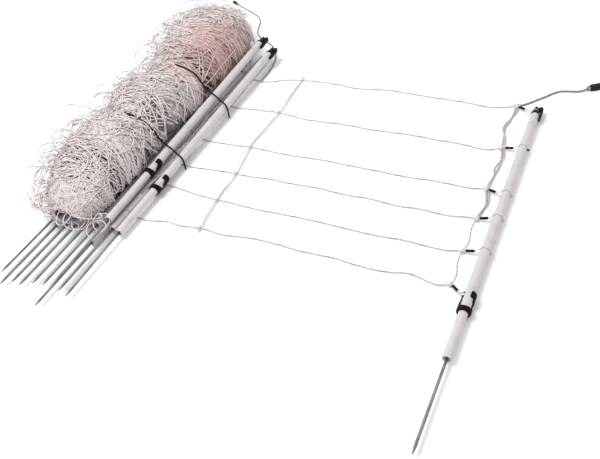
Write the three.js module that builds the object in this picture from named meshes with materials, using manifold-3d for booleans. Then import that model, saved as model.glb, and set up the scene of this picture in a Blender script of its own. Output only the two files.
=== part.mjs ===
// Electric fence netting, part unrolled: ten posts under the heaped net, six strands, one stay and the end post.
// Millimetres, +Z up. The posts lie along Y with their caps towards +Y, and the strands run along X.
import * as THREE from "three";
import { mergeVertices } from "three/addons/utils/BufferGeometryUtils.js";
import Module from "manifold-3d";

const wasm = await Module();
wasm.setup();

// Posts
const TUBE_R = 9.5;
const LOWER_TUBE_R = 8.25;
const BARREL_RIB = 0.6;
const CAP_TO_TUBE = 33;
const UPPER_TUBE = 578;
const BARREL = 28.7;
const LOWER_TUBE = 100;
const SPIKE_OUT = 178;
const SPIKE_R = 2.6;
const SPIKE_POINT = 14;
const SPIKE_SOCKET = 24;
const TUBE_SIDES = 16;
const SPIKE_SIDES = 8;
const CLEARANCE = 0.3;

// Bottom clip
const COLLAR_R = 12.3;
const COLLAR_LENGTH = 13.3;
const HOOK_LENGTH = 13;
const HOOK_R = 12;
const HOOK_OVER_TUBE = 4.3;
const HOOK_GAP = 2.5;
const TAIL_LENGTH = 10;
const TAIL_WIDTH = 6;
const WING_LENGTH = 10;
const WING_WIDTH = 5;
const ARM_WIDTH = 5;
const ARM_TURN = 0.7;
const PRONG_WIDTH = 3;
const PRONG_BELOW_HOOK = 2;
const JOINED = 4;

// Cap
const CAP_THICKNESS = 9;
const CAP_NECK_LEFT = -6;
const CAP_NECK_RIGHT = 3.5;
const CAP_NECK_TOP = -11;
const CAP_NECK_ABOVE_TUBE = 6;
const FIN_REACH = 14.5;
const FIN_LENGTH = 20;

// Net
const STRAND_R = 1.2;
const EDGE_THICK_R = 1.9;
const EDGE_THIN_R = 1.1;
const CORD_SIDES = 8;
const KNOT_R = 4;
const SLEEVE_R = 2.8;
const SLEEVE_LENGTH = 16;
const STAY_WIDTH = 6;
const STAY_THICKNESS = 1.4;
const STAY_NUB_R = 5;
const STAY_Z = 3.6;
const TAIL_R = 1.9;
const TIE_R = 2.2;

// Heap of net
const HEAP_ARC_SIDES = 14;
const HEAP_EDGE_Z = 14;
const HEAP_OVER_ROW = 8;

// Where the posts lie, seen from the top knot of the edge cord
const END_POST_X = 47.6;
const END_POST_TURN = -0.0197;
const END_POST_CAP_Y = -7;
const OUTER_POST_X = -667;
const UPPER_POST_X = -698;

const LOWER_START = CAP_TO_TUBE + UPPER_TUBE + CLEARANCE;
const COLLAR_START = LOWER_START + BARREL;
const COLLAR_END = COLLAR_START + COLLAR_LENGTH;
const LOWER_END = COLLAR_END + LOWER_TUBE;
const POST_LENGTH = LOWER_END + SPIKE_OUT;
const LOW_ROW_Z = COLLAR_R;
const CAP_NECK_BOTTOM = CAP_NECK_ABOVE_TUBE - CAP_TO_TUBE;
const BORE_R = TUBE_R + CLEARANCE;
const HOOK_START = LOWER_START - HOOK_OVER_TUBE;
const HOOK_END = HOOK_START + HOOK_LENGTH;
const ARM_X = (BORE_R + HOOK_R) / 2;
const PRONG_X = 0.5 - ARM_X;
const PRONG_TOP = HOOK_START + PRONG_BELOW_HOOK;

const white = new THREE.MeshStandardMaterial({ color: 0xdedadb, roughness: 0.45 });
const black = new THREE.MeshStandardMaterial({ color: 0x1b181a, roughness: 0.5 });
const steel = new THREE.MeshStandardMaterial({ color: 0x8d9092, roughness: 0.42, metalness: 0.9 });
const strandMaterial = new THREE.MeshStandardMaterial({ color: 0xd9d4cd, roughness: 0.6 });
const stayMaterial = new THREE.MeshStandardMaterial({ color: 0xe6e3df, roughness: 0.5 });
const tieMaterial = new THREE.MeshStandardMaterial({ color: 0x201c20, roughness: 0.75 });
const connectorMaterial = new THREE.MeshStandardMaterial({ color: 0x3b2f2b, roughness: 0.5 });

// Booleans
function solidOf(geometry) {
  const bare = geometry.clone();
  bare.deleteAttribute("normal");
  bare.deleteAttribute("uv");
  const merged = mergeVertices(bare, 1e-4);
  return new wasm.Manifold(
    new wasm.Mesh({
      numProp: 3,
      vertProperties: merged.attributes.position.array,
      triVerts: new Uint32Array(merged.index.array),
    }),
  );
}

function geometryOf(solid) {
  const mesh = solid.getMesh();
  const geometry = new THREE.BufferGeometry();
  geometry.setAttribute("position", new THREE.BufferAttribute(mesh.vertProperties, 3));
  geometry.setIndex(new THREE.BufferAttribute(mesh.triVerts, 1));
  geometry.computeVertexNormals();
  return geometry;
}

function largestBody(solid) {
  const bodies = solid.decompose();
  bodies.sort((a, b) => b.volume() - a.volume());
  return bodies[0];
}

function named(name, geometry, material) {
  const mesh = new THREE.Mesh(geometry, material);
  mesh.name = name;
  return mesh;
}

// Shapes
function rod(radius, start, end, sides = TUBE_SIDES) {
  const geometry = new THREE.CylinderGeometry(radius, radius, end - start, sides);
  return geometry.translate(0, -(start + end) / 2, 0);
}

function lathe(profile, sides = TUBE_SIDES) {
  return new THREE.LatheGeometry(profile.map(([r, y]) => new THREE.Vector2(r, y)), sides);
}

function block(width, length, height, x, y, z) {
  return new THREE.BoxGeometry(width, length, height).translate(x, y, z);
}

function roundSection(radius, sides = CORD_SIDES) {
  const corners = Array.from({ length: sides }, (_, i) => {
    const angle = ((i + 0.5) / sides) * 2 * Math.PI;
    return new THREE.Vector2(radius * Math.cos(angle), radius * Math.sin(angle));
  });
  return new THREE.Shape(corners);
}

function curveThrough(points) {
  return new THREE.CatmullRomCurve3(points.map((p) => new THREE.Vector3(...p)), false, "centripetal");
}

function cordAlong(points, radius, steps) {
  const path = curveThrough(points);
  return new THREE.ExtrudeGeometry(roundSection(radius), { steps, extrudePath: path, bevelEnabled: false });
}

function ball(radius, [x, y, z], flatten = 1) {
  return new THREE.SphereGeometry(radius, 8, 5).scale(1, 1, flatten).translate(x, y, z);
}

// A post's own frame: Y = 0 at the top of the cap, the rest below it, and Z = 0 on its axis.
// lift is how much higher than on the end post the joint of the two tubes sits, with its clip.
function upperTubeGeometry(lift) {
  const top = -CAP_TO_TUBE - CLEARANCE;
  const bottom = -LOWER_START + CLEARANCE + lift;
  const rounding = 2.5;
  return lathe([
    [0, bottom],
    [TUBE_R, bottom],
    [TUBE_R, top - rounding],
    [TUBE_R - 0.3 * rounding, top - 0.3 * rounding],
    [TUBE_R - rounding, top],
    [0, top],
  ]);
}

// The lower tube starts in a ribbed barrel, which the clip holds, and has a socket for the spike.
function lowerTubeProfile(lift) {
  const barrelR = TUBE_R - BARREL_RIB;
  const barrelEnd = 1 - COLLAR_END + lift;
  const profile = [[0, -LOWER_END], [LOWER_TUBE_R, -LOWER_END], [LOWER_TUBE_R, barrelEnd], [TUBE_R, barrelEnd]];
  profile.push([TUBE_R, lift - COLLAR_START], [barrelR, lift - COLLAR_START + 0.6]);
  const ribs = 2;
  const pitch = (BARREL - 4) / ribs;
  for (let i = ribs - 1; i >= 0; i -= 1) {
    const y = lift - LOWER_START - 3 - i * pitch;
    profile.push([barrelR, y - 0.5 * pitch]);
    profile.push([TUBE_R, y - 0.25 * pitch]);
    profile.push([barrelR, y]);
  }
  profile.push([barrelR, lift - LOWER_START]);
  profile.push([0, lift - LOWER_START]);
  return profile;
}

function socketCutter() {
  return solidOf(rod(SPIKE_R + CLEARANCE, LOWER_END - SPIKE_SOCKET, LOWER_END + 1, SPIKE_SIDES));
}

function lowerTubeGeometry(lift) {
  return geometryOf(solidOf(lathe(lowerTubeProfile(lift))).subtract(socketCutter()));
}

// A bundled post whose joint is buried in the net: both halves of its tube in one solid.
function wholeTubeGeometry() {
  const upper = solidOf(rod(TUBE_R, CAP_TO_TUBE, LOWER_START));
  const lower = solidOf(rod(LOWER_TUBE_R, LOWER_START - 1, LOWER_END));
  return geometryOf(upper.add(lower).subtract(socketCutter()));
}

function spikeGeometry() {
  const tip = -POST_LENGTH;
  return lathe([
    [0, tip],
    [0.7, tip],
    [SPIKE_R, tip + SPIKE_POINT],
    [SPIKE_R, -LOWER_END + SPIKE_SOCKET - CLEARANCE],
    [0, -LOWER_END + SPIKE_SOCKET - CLEARANCE],
  ], SPIKE_SIDES);
}

// The cap is one flat moulding: a foot on the tube, a neck for the top tie, a prong and a long fin beside the tube.
function capGeometry() {
  const foot = -CAP_TO_TUBE;
  const footHalf = TUBE_R - 1.5;
  const finInside = TUBE_R + 1.2;
  const finEnd = foot - FIN_LENGTH;
  const outline = new THREE.Shape();
  outline.moveTo(-footHalf, foot);
  outline.lineTo(0.5 - footHalf, CAP_NECK_BOTTOM);
  outline.lineTo(CAP_NECK_LEFT, CAP_NECK_BOTTOM + 2);
  outline.lineTo(CAP_NECK_LEFT, CAP_NECK_TOP);
  outline.lineTo(-4.5, -4);
  outline.lineTo(-2.5, 0);
  outline.lineTo(0.5, -0.5);
  outline.lineTo(2, -4.5);
  outline.lineTo(6, -3);
  outline.lineTo(9, 0);
  outline.quadraticCurveTo(FIN_REACH, -3, FIN_REACH, -14);
  outline.lineTo(FIN_REACH, finEnd + 5);
  outline.lineTo(finInside, finEnd);
  outline.lineTo(finInside, foot);
  outline.lineTo(finInside, CAP_NECK_TOP);
  outline.lineTo(CAP_NECK_RIGHT, CAP_NECK_TOP);
  outline.lineTo(CAP_NECK_RIGHT, CAP_NECK_BOTTOM);
  outline.lineTo(footHalf - 0.5, CAP_NECK_BOTTOM);
  outline.lineTo(footHalf, foot);
  const options = { depth: CAP_THICKNESS - 2, bevelThickness: 1, bevelSize: 0.6, bevelOffset: -0.6 };
  const geometry = new THREE.ExtrudeGeometry(outline, { ...options, bevelSegments: 1, curveSegments: 4 });
  return geometry.translate(0, 0, 1 - CAP_THICKNESS / 2);
}

// The clip: a collar with a wing, a hook over the end of the upper tube, with a tail, on an arm at the lower right,
// and a thin prong on the left.
function clipGeometry(lift) {
  const middle = -(HOOK_START + HOOK_END) / 2;
  const wall = HOOK_R - BORE_R;
  const hook = solidOf(rod(HOOK_R, HOOK_START, HOOK_END));
  const halfX = HOOK_GAP + HOOK_R;
  const rightHalf = solidOf(block(2 * HOOK_R, HOOK_LENGTH + 2, 3 * HOOK_R, halfX, middle, 0));
  const tailSolid = solidOf(block(wall, TAIL_LENGTH + JOINED, TAIL_WIDTH, ARM_X, JOINED / 2 - HOOK_END - TAIL_LENGTH / 2, 0));
  const collar = solidOf(rod(COLLAR_R, COLLAR_START, COLLAR_END));
  const armLength = COLLAR_START - HOOK_END + 2 * JOINED;
  const armMiddle = -(HOOK_END + COLLAR_START) / 2;
  const arm = solidOf(block(wall, armLength, ARM_WIDTH, ARM_X, armMiddle, 0).rotateY(ARM_TURN));
  const wingMiddle = (WING_LENGTH - JOINED) / 2 - COLLAR_START;
  const wing = solidOf(block(wall, WING_LENGTH + JOINED, WING_WIDTH, -ARM_X, wingMiddle, 0));
  const prongLength = COLLAR_START - PRONG_TOP + JOINED;
  const prongMiddle = -PRONG_TOP - prongLength / 2;
  const prong = solidOf(block(PRONG_WIDTH, prongLength, PRONG_WIDTH, PRONG_X, prongMiddle, 0));
  const bore = solidOf(rod(BORE_R, HOOK_START - 10, COLLAR_END + 10));
  const body = hook.intersect(rightHalf).add(tailSolid).add(collar).add(arm).add(wing).add(prong);
  return geometryOf(body.subtract(bore)).translate(0, lift, 0);
}

function postAt(name, place, pieces) {
  const group = new THREE.Group();
  const rise = place.capZ - place.tipZ;
  group.position.set(place.x, place.tipY + Math.sqrt(POST_LENGTH ** 2 - rise ** 2), place.capZ);
  group.rotation.x = Math.asin(rise / POST_LENGTH);
  group.rotation.z = place.turn ?? 0;
  for (const [piece, geometry, material] of pieces) {
    group.add(named(`${name}_${piece}`, geometry(place.lift ?? 0), material));
  }
  return group;
}

const fullPost = [
  ["upper_tube", upperTubeGeometry, white],
  ["lower_tube", lowerTubeGeometry, white],
  ["spike", spikeGeometry, steel],
  ["cap", capGeometry, black],
  ["clip", clipGeometry, black],
];
const buriedPost = [
  ["tube", wholeTubeGeometry, white],
  ["spike", spikeGeometry, steel],
];
const buriedPostWithClip = [
  ["upper_tube", upperTubeGeometry, white],
  ["lower_tube", lowerTubeGeometry, white],
  ["spike", spikeGeometry, steel],
  ["clip", clipGeometry, black],
];

// The bundle: the outer post on the right, one lying in the groove behind it, and a low row from right to left.
// A place has the X of a post, the Y of its tip, and the height of its axis at the tip and at the cap.
const groove = LOW_ROW_Z + Math.sqrt(3) * TUBE_R;
const bundle = [
  { x: OUTER_POST_X, tipY: -855, tipZ: LOW_ROW_Z, capZ: LOW_ROW_Z + 19.7, lift: 36, pieces: fullPost },
  { x: UPPER_POST_X, tipY: -841, tipZ: groove - 2.8, capZ: groove + 24.2, lift: 50, pieces: fullPost },
];
// Each post of the low row: the Y of its tip, the room between its axis and the last one, and the gap left there
const lowRow = [
  { tipY: -847, room: COLLAR_R + LOWER_TUBE_R, gap: 1.95 },
  { tipY: -894, room: 2 * TUBE_R, gap: CLEARANCE },
  { tipY: -846, room: 2 * TUBE_R, gap: 2.2 },
  { tipY: -849, room: TUBE_R + COLLAR_R, gap: 0.7, pieces: buriedPostWithClip },
  { tipY: -861, room: TUBE_R + COLLAR_R, gap: 0.7 },
  { tipY: -859, room: 2 * TUBE_R, gap: 1 },
  { tipY: -873, room: 2 * TUBE_R, gap: 1 },
  { tipY: -844, room: 2 * TUBE_R, gap: 2 },
];
let rowX = OUTER_POST_X;
for (const { tipY, room, gap, pieces = buriedPost } of lowRow) {
  rowX -= room + gap;
  bundle.push({ x: rowX, tipY, tipZ: LOW_ROW_Z, capZ: LOW_ROW_Z, pieces });
}
const firstOfRow = bundle[2];
const endPost = {
  x: END_POST_X,
  tipY: END_POST_CAP_Y - POST_LENGTH,
  tipZ: LOW_ROW_Z,
  capZ: LOW_ROW_Z,
  turn: END_POST_TURN,
  pieces: fullPost,
};

// The heap of net: cross-sections along Y, each with its left edge, right edge and height.
const HEAP_SECTIONS = [
  [-690, -815, -760, 45],
  [-672, -850, -735, 68],
  [-625, -885, -716, 100],
  [-540, -905, -713, 124],
  [-470, -902, -713, 124],
  [-405, -885, -713, 102],
  [-350, -908, -713, 120],
  [-285, -925, -713, 128],
  [-215, -892, -713, 106],
  [-150, -915, -713, 128],
  [-50, -937, -713, 138],
  [60, -945, -714, 132],
  [100, -948, -738, 120],
  [145, -948, -772, 100],
  [190, -940, -812, 76],
  [222, -915, -850, 50],
];
const ROW_LEFT = rowX - TUBE_R - 2;
const HEAP_UNDERSIDE = LOW_ROW_Z + TUBE_R + CLEARANCE;

// A point on the heap's round top, at an angle from its right edge
function heapTop([, left, right, height], angle, base) {
  const across = Math.sign(Math.cos(angle)) * Math.abs(Math.cos(angle)) ** 0.8;
  const x = (left + right) / 2 + (across * (right - left)) / 2;
  return [x, base + Math.sin(angle) ** 0.75 * (height - base)];
}

// One cross-section: flat on the floor left of the posts, flat on the row of posts, and round above.
function heapSection(section) {
  const [y, left, right] = section;
  const onFloor = left + 30 < ROW_LEFT;
  const overRow = left > ROW_LEFT - 1.5;
  const foot = overRow ? left + 12 : Math.min(left + 26, ROW_LEFT - 1);
  const step = overRow ? left + 14 : Math.min(ROW_LEFT, right - 16);
  const footZ = onFloor ? 0 : HEAP_UNDERSIDE;
  const points = [
    [foot, y, footZ],
    [step, y, footZ],
    [step + 0.5, y, HEAP_UNDERSIDE],
    [right - 12, y, HEAP_UNDERSIDE],
  ];
  for (let i = 0; i <= HEAP_ARC_SIDES; i += 1) {
    const base = onFloor && i > HEAP_ARC_SIDES / 2 ? HEAP_EDGE_Z : HEAP_UNDERSIDE + HEAP_OVER_ROW;
    const [x, z] = heapTop(section, (i / HEAP_ARC_SIDES) * Math.PI, base);
    points.push([x, y, z]);
  }
  return points;
}

function heapSolid() {
  const rings = HEAP_SECTIONS.map(heapSection);
  const count = rings[0].length;
  const positions = rings.flat(2);
  const index = [];
  for (let r = 0; r + 1 < rings.length; r += 1) {
    for (let i = 0; i < count; i += 1) {
      const a = r * count + i;
      const b = r * count + ((i + 1) % count);
      index.push(a, a + count, b, b, a + count, b + count);
    }
  }
  const ends = [[0, false], [rings.length - 1, true]];
  for (const [r, last] of ends) {
    const outline = rings[r].map(([x, , z]) => new THREE.Vector2(x, z));
    for (const [a, b, c] of THREE.ShapeUtils.triangulateShape(outline, [])) {
      const corner = [a, b, c].map((k) => r * count + k);
      index.push(...(last ? [corner[0], corner[2], corner[1]] : corner));
    }
  }
  const geometry = new THREE.BufferGeometry();
  geometry.setAttribute("position", new THREE.BufferAttribute(new Float32Array(positions), 3));
  geometry.setIndex(index);
  return solidOf(geometry);
}

// Net levels: where each strand meets the edge cord, and its way over the stay to the bundle
const strandRoutes = [
  [[0, 0, 4.5], [-22, -7, 2.5], [-60, -15, 1.6], [-100, -12, 2.4], [-141, -8, 1.6], [-183, -9, 2.6], [-226, -6, 1.6],
    [-270, -5, 2], [-314, -4, 3], [-357, -10, 1.6], [-401, -15, 2.2], [-450, -8, 1.6], [-497, -9, 2], [-545, -15, STAY_Z],
    [-590, -22, 2.2], [-622, -38, 1.6], [-645, -44, 2]],
  [[1, -169, 4.5], [-22, -180, 2.5], [-48, -181, 1.6], [-90, -176, 2.4], [-146, -175, 1.6], [-187, -173, 2.4],
    [-250, -174, 1.6], [-308, -177, 2.6], [-352, -173, 1.6], [-410, -176, 2.2], [-470, -177, 1.6], [-541, -170, STAY_Z],
    [-590, -170, 2], [-627, -172, 1.6], [-645, -176, 2]],
  [[-1, -316, 4.5], [-24, -319, 2.5], [-56, -319, 1.6], [-110, -318, 2.4], [-165, -321, 1.6], [-242, -320, 2.6],
    [-300, -318, 1.6], [-362, -317, 2.4], [-430, -320, 1.6], [-489, -320, 2.2], [-545, -319, STAY_Z], [-590, -321, 2],
    [-622, -322, 1.6], [-645, -323, 2]],
  [[0, -410, 4.5], [-22, -410, 2.5], [-58, -415, 1.6], [-110, -413, 2.4], [-160, -416, 1.6], [-218, -412, 2.4],
    [-275, -414, 1.6], [-333, -411, 2.6], [-400, -413, 1.6], [-454, -413, 2.2], [-500, -417, 1.8], [-533, -418, STAY_Z],
    [-580, -419, 2], [-620, -422, 1.6], [-645, -424, 2]],
  [[-3, -505, 4.5], [-26, -510, 2.5], [-60, -511, 1.6], [-111, -509, 2.4], [-180, -512, 1.6], [-251, -511, 2.6],
    [-326, -509, 1.6], [-390, -511, 2.4], [-442, -512, 1.6], [-490, -510, 2.2], [-529, -511, STAY_Z], [-570, -508, 2],
    [-614, -503, 1.6], [-645, -498, 2]],
  [[-2, -594, 4.5], [-24, -601, 2.5], [-50, -596, 1.6], [-82, -590, 2.4], [-120, -598, 1.6], [-175, -600, 2.4],
    [-230, -595, 1.6], [-290, -598, 2.6], [-354, -594, 1.6], [-410, -595, 2.2], [-466, -603, 1.6], [-521, -601, STAY_Z],
    [-560, -606, 2], [-600, -604, 1.6], [-645, -613, 2]],
];

// Each strand goes under the outer post, up round the first of the row and over it into the heap.
function intoTheHeap(y, tubeRadius) {
  const bend = tubeRadius + 2 * CLEARANCE + STRAND_R + 0.2;
  const over = LOW_ROW_Z + bend;
  const points = [22, 7, -4].map((x, i) => [OUTER_POST_X + x, y, 2 + 0.8 * i]);
  for (const degrees of [-38, -14, 12, 38, 64, 88]) {
    const angle = (degrees * Math.PI) / 180;
    points.push([firstOfRow.x + bend * Math.cos(angle), y, LOW_ROW_Z + bend * Math.sin(angle)]);
  }
  for (const [x, rise] of [[-12.5, 0], [-25.5, 1], [-38.5, 3]]) {
    points.push([firstOfRow.x + x, y, over + rise]);
  }
  return points;
}

// Where the ties hold the end post, from the edge knots: a ring round the tube, the cap's neck or the clip's prong
const NECK_TIE_Y = END_POST_CAP_Y + (CAP_NECK_TOP + CAP_NECK_BOTTOM) / 2;
const PRONG_TIE_Y = END_POST_CAP_Y - PRONG_TOP - 2.7;
const TIE_Y = [NECK_TIE_Y, -173, -333, -409, -505, PRONG_TIE_Y];
const PRONG_TIE = TIE_Y.length - 1;
const ringR = TUBE_R + CLEARANCE + STRAND_R;

function ringAt(level) {
  const y = TIE_Y[level];
  const axisX = END_POST_X + (END_POST_CAP_Y - y) * Math.tan(END_POST_TURN);
  if (level === 0) {
    const neckX = (CAP_NECK_LEFT + CAP_NECK_RIGHT) / 2;
    const neckHalf = Math.hypot((CAP_NECK_RIGHT - CAP_NECK_LEFT) / 2, CAP_THICKNESS / 2);
    return { x: axisX + neckX, y, radius: neckHalf + CLEARANCE + STRAND_R };
  }
  if (level === PRONG_TIE) {
    return { x: axisX + PRONG_X, y, radius: PRONG_WIDTH * Math.SQRT1_2 + CLEARANCE + STRAND_R };
  }
  return { x: axisX, y, radius: ringR };
}

function ringGeometry(ring) {
  const torus = new THREE.TorusGeometry(ring.radius, STRAND_R, 6, 12).rotateX(Math.PI / 2);
  return torus.translate(ring.x, ring.y, LOW_ROW_Z);
}

const underTheFloor = solidOf(block(4000, 4000, 40, 0, 0, -20 + 0.1));
const endPostRoom = [rod(BORE_R, CAP_TO_TUBE, LOWER_START), rod(BORE_R, LOWER_START, LOWER_END)].map((room) =>
  solidOf(room.rotateZ(END_POST_TURN).translate(END_POST_X, END_POST_CAP_Y, LOW_ROW_Z)),
);
const roomForEndTube = endPostRoom[0].add(endPostRoom[1]);

function sleeveEnds(level) {
  const knot = new THREE.Vector3(...strandRoutes[level][0]);
  const ring = ringAt(level);
  const eye = new THREE.Vector3(ring.x - ring.radius, ring.y, LOW_ROW_Z);
  const way = eye.clone().sub(knot);
  const length = Math.min(SLEEVE_LENGTH, way.length() - KNOT_R - STRAND_R - 4);
  const start = knot.clone().addScaledVector(way, (KNOT_R + 1.2) / way.length());
  const end = start.clone().addScaledVector(way, length / way.length());
  return { knot, eye, start, end };
}

function straightRod(start, end, radius, sides) {
  const way = end.clone().sub(start);
  const geometry = new THREE.CylinderGeometry(radius, radius, way.length(), sides);
  const turn = new THREE.Quaternion().setFromUnitVectors(new THREE.Vector3(0, 1, 0), way.clone().normalize());
  const middle = start.clone().add(end).multiplyScalar(0.5);
  return geometry.applyQuaternion(turn).translate(middle.x, middle.y, middle.z);
}

function sleeveGeometry(level) {
  const { knot, eye, start, end } = sleeveEnds(level);
  const outside = solidOf(straightRod(start, end, SLEEVE_R, 12));
  const bore = solidOf(straightRod(knot, eye, STRAND_R + CLEARANCE, CORD_SIDES));
  return geometryOf(outside.subtract(bore));
}

// The edge cord: thick from the top knot to the fourth, thin from there to the sixth
const edgeRoute = [
  [0, 8, 4], [0, 0, 4.5], [-1, -25, 2.4], [-3, -60, 2.4], [-8, -90, 2.4], [-4, -125, 2.4], [1, -169, 4.5],
  [6, -200, 2.4], [9, -224, 2.4], [5, -262, 2.4], [-1, -316, 4.5], [6, -347, 2.4], [8, -372, 2.4], [0, -410, 4.5],
];
const edgeThinRoute = [
  [0, -410, 4.5], [-3, -437, 1.6], [1, -475, 1.6], [-3, -505, 4.5], [-6, -532, 1.6], [0, -566, 1.6], [-2, -594, 4.5],
  [-3, -600, 4.4],
];

function edgeSolid(grow) {
  const thick = solidOf(cordAlong(edgeRoute, EDGE_THICK_R + grow, 24));
  const thin = solidOf(cordAlong(edgeThinRoute, EDGE_THIN_R + grow, 14));
  return thick.add(thin);
}

// The stay: a flat strip that half turns between its moulded crossings
const stayCrossings = strandRoutes.map((route) => route.find((point) => point[2] === STAY_Z));

function staySolid() {
  const path = curveThrough([[-545.5, 0, 3.4], ...stayCrossings, [-520.5, -612, 3.4]]);
  const corners = [[-1, -1], [1, -1], [1, 1], [-1, 1]];
  const section = corners.map(([x, y]) => new THREE.Vector2((x * STAY_THICKNESS) / 2, (y * STAY_WIDTH) / 2));
  const options = { steps: 12, extrudePath: path, bevelEnabled: false };
  const strip = new THREE.ExtrudeGeometry(new THREE.Shape(section), options);
  let solid = solidOf(strip);
  for (const crossing of stayCrossings) {
    solid = solid.add(solidOf(ball(STAY_NUB_R, crossing, 0.62)));
  }
  return solid;
}

function strandCore(level, grow) {
  const route = strandRoutes[level];
  const last = route[route.length - 1];
  const tubeRadius = level === PRONG_TIE ? LOWER_TUBE_R : TUBE_R;
  const spread = solidOf(cordAlong(route, STRAND_R + grow, 23));
  return spread.add(solidOf(cordAlong(intoTheHeap(last[1], tubeRadius), STRAND_R + grow, 15)));
}

function strandSolid(level, edgeCutter, heapRoom) {
  const { knot, eye } = sleeveEnds(level);
  const bump = ringAt(level);
  let solid = strandCore(level, 0);
  solid = solid.add(solidOf(ball(KNOT_R, strandRoutes[level][0])));
  solid = solid.add(solidOf(straightRod(knot, eye, STRAND_R, CORD_SIDES)));
  solid = solid.add(solidOf(ringGeometry(bump)));
  if (level > 0 && level < PRONG_TIE) {
    solid = solid.add(solidOf(ball(2.6, [bump.x + bump.radius + 0.6, bump.y, LOW_ROW_Z])));
  }
  const room = roomForEndTube.add(underTheFloor);
  return largestBody(solid.subtract(edgeCutter).subtract(heapRoom).subtract(room));
}

// The two free tails of cord, each with its connector
const tailRightRoute = [
  [3.4, 3.6, 3.6], [13, 12, 2.2], [26, 25, 2.1], [40, 42, 2.1], [55, 59, 2.1], [68, 76, 2.1], [78, 87, 2.1], [90, 94, 2.1],
  [108, 98, 2.1], [126, 102, 2.4], [137, 109, 3.6], [143, 114, 5],
];
const tailLeftRoute = [
  [-652, -42.3, 2.3], [-652, -20, 2.1], [-652, 6, 2.1], [-655, 35, 2.1], [-661, 62, 2.1], [-671, 90, 2.1],
  [-686, 116, 2.1], [-706, 140, 2.1], [-731, 158, 2.1], [-758, 175, 2.1], [-780, 198, 2.1], [-794, 228, 2.1],
  [-804, 262, 2.1], [-824, 294, 2.1], [-854, 317, 2.1], [-887, 337, 2.1], [-916, 353, 2.4], [-930, 361, 3.4],
];

// A connector lies level from its cord's end: a body that narrows to a collar on the cord side.
function connectorGeometry(start, end, middleZ, width, height) {
  const length = Math.hypot(end[0] - start[0], end[1] - start[1]);
  const half = [[0, 0.32], [0.2, 0.5], [0.92, 0.5], [1, 0.36]].map(([along, side]) => [along * length, side * width]);
  const mirrored = half.map(([along, side]) => [along, -side]).reverse();
  const outline = new THREE.Shape([...mirrored, ...half].map(([x, y]) => new THREE.Vector2(x, y)));
  const bevel = 0.8;
  const options = { depth: height - 2 * bevel, bevelThickness: bevel, bevelSize: bevel, bevelOffset: -bevel };
  const body = new THREE.ExtrudeGeometry(outline, { ...options, bevelSegments: 1 });
  body.rotateZ(Math.atan2(end[1] - start[1], end[0] - start[0]));
  return body.translate(start[0], start[1], middleZ - height / 2 + bevel);
}

// The two black ties: up beside the outer post, over the second one, over the heap and down its left side.
// Their first points are X from the outer post's axis and Z from the floor.
const TIE_STEPS = 14;

function tieRoute(y, slant, start) {
  const section = HEAP_SECTIONS.reduce((a, b) => (Math.abs(b[0] - y) < Math.abs(a[0] - y) ? b : a));
  const [, left, right] = section;
  const points = start.map(([x, z]) => [OUTER_POST_X + x, z]);
  for (let i = 3; i <= TIE_STEPS; i += 1) {
    const base = i < TIE_STEPS / 2 ? HEAP_UNDERSIDE + HEAP_OVER_ROW : HEAP_EDGE_Z;
    points.push(heapTop(section, (i / TIE_STEPS) * Math.PI, base));
  }
  points.push([left + 7, 2.4]);
  return points.map(([x, z]) => [x, y + slant * (x - (left + right) / 2), z]);
}

const tieRoutes = [
  tieRoute(-405, -0.2, [[13, 2.4], [13, 14], [12, 27], [6, 35], [-3, 39], [-18, 49], [-30, 54], [-44, 60]]),
  tieRoute(-215, -0.2, [[13, 2.4], [13, 16], [12, 31], [6, 39], [-3, 43], [-18, 54], [-30, 60], [-44, 67]]),
];

function tieSolid(route, grow) {
  return solidOf(cordAlong(route, TIE_R + grow, 23));
}

// Assembly
const netting = new THREE.Group();
const heap = heapSolid();
const bundleGroups = bundle.map((place, i) => postAt(`post_${i + 1}`, place, place.pieces));
const endGroup = postAt("end_post", endPost, endPost.pieces);
netting.add(endGroup, ...bundleGroups);

// Room in the heap for the clip of a post in the row, which stands out of it
function clipRoom(place) {
  const room = rod(COLLAR_R + 0.7, HOOK_START - 5, COLLAR_END + 4);
  return solidOf(room.translate(place.x, place.tipY + POST_LENGTH, LOW_ROW_Z));
}

function leaningRoom(place) {
  const rise = place.capZ - place.tipZ;
  const tube = solidOf(rod(TUBE_R + CLEARANCE, 0, POST_LENGTH));
  const clip = rod(COLLAR_R + 0.5, HOOK_START - 3, COLLAR_END + 2).translate(0, place.lift, 0);
  const room = geometryOf(tube.add(solidOf(clip))).rotateX(Math.asin(rise / POST_LENGTH));
  return solidOf(room.translate(place.x, place.tipY + Math.sqrt(POST_LENGTH ** 2 - rise ** 2), place.capZ));
}

const clipped = bundle.filter((place) => place.pieces === buriedPostWithClip);
let heapBody = heap.subtract(leaningRoom(bundle[1]));
for (const place of clipped) {
  heapBody = heapBody.subtract(clipRoom(place));
}
for (const route of tieRoutes) {
  heapBody = heapBody.subtract(tieSolid(route, CLEARANCE));
}
netting.add(named("net_heap", geometryOf(largestBody(heapBody)), strandMaterial));

const edgeCutter = edgeSolid(CLEARANCE);
const heapRoom = heap.add(heap.translate(2 * CLEARANCE, 0, 0));
netting.add(named("edge_cord", geometryOf(edgeSolid(0)), strandMaterial));
let stay = staySolid();
strandRoutes.forEach((route, level) => {
  netting.add(named(`strand_${level + 1}`, geometryOf(strandSolid(level, edgeCutter, heapRoom)), strandMaterial));
  netting.add(named(`sleeve_${level + 1}`, sleeveGeometry(level), black));
  stay = stay.subtract(strandCore(level, CLEARANCE));
});
netting.add(named("stay", geometryOf(largestBody(stay)), stayMaterial));

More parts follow.
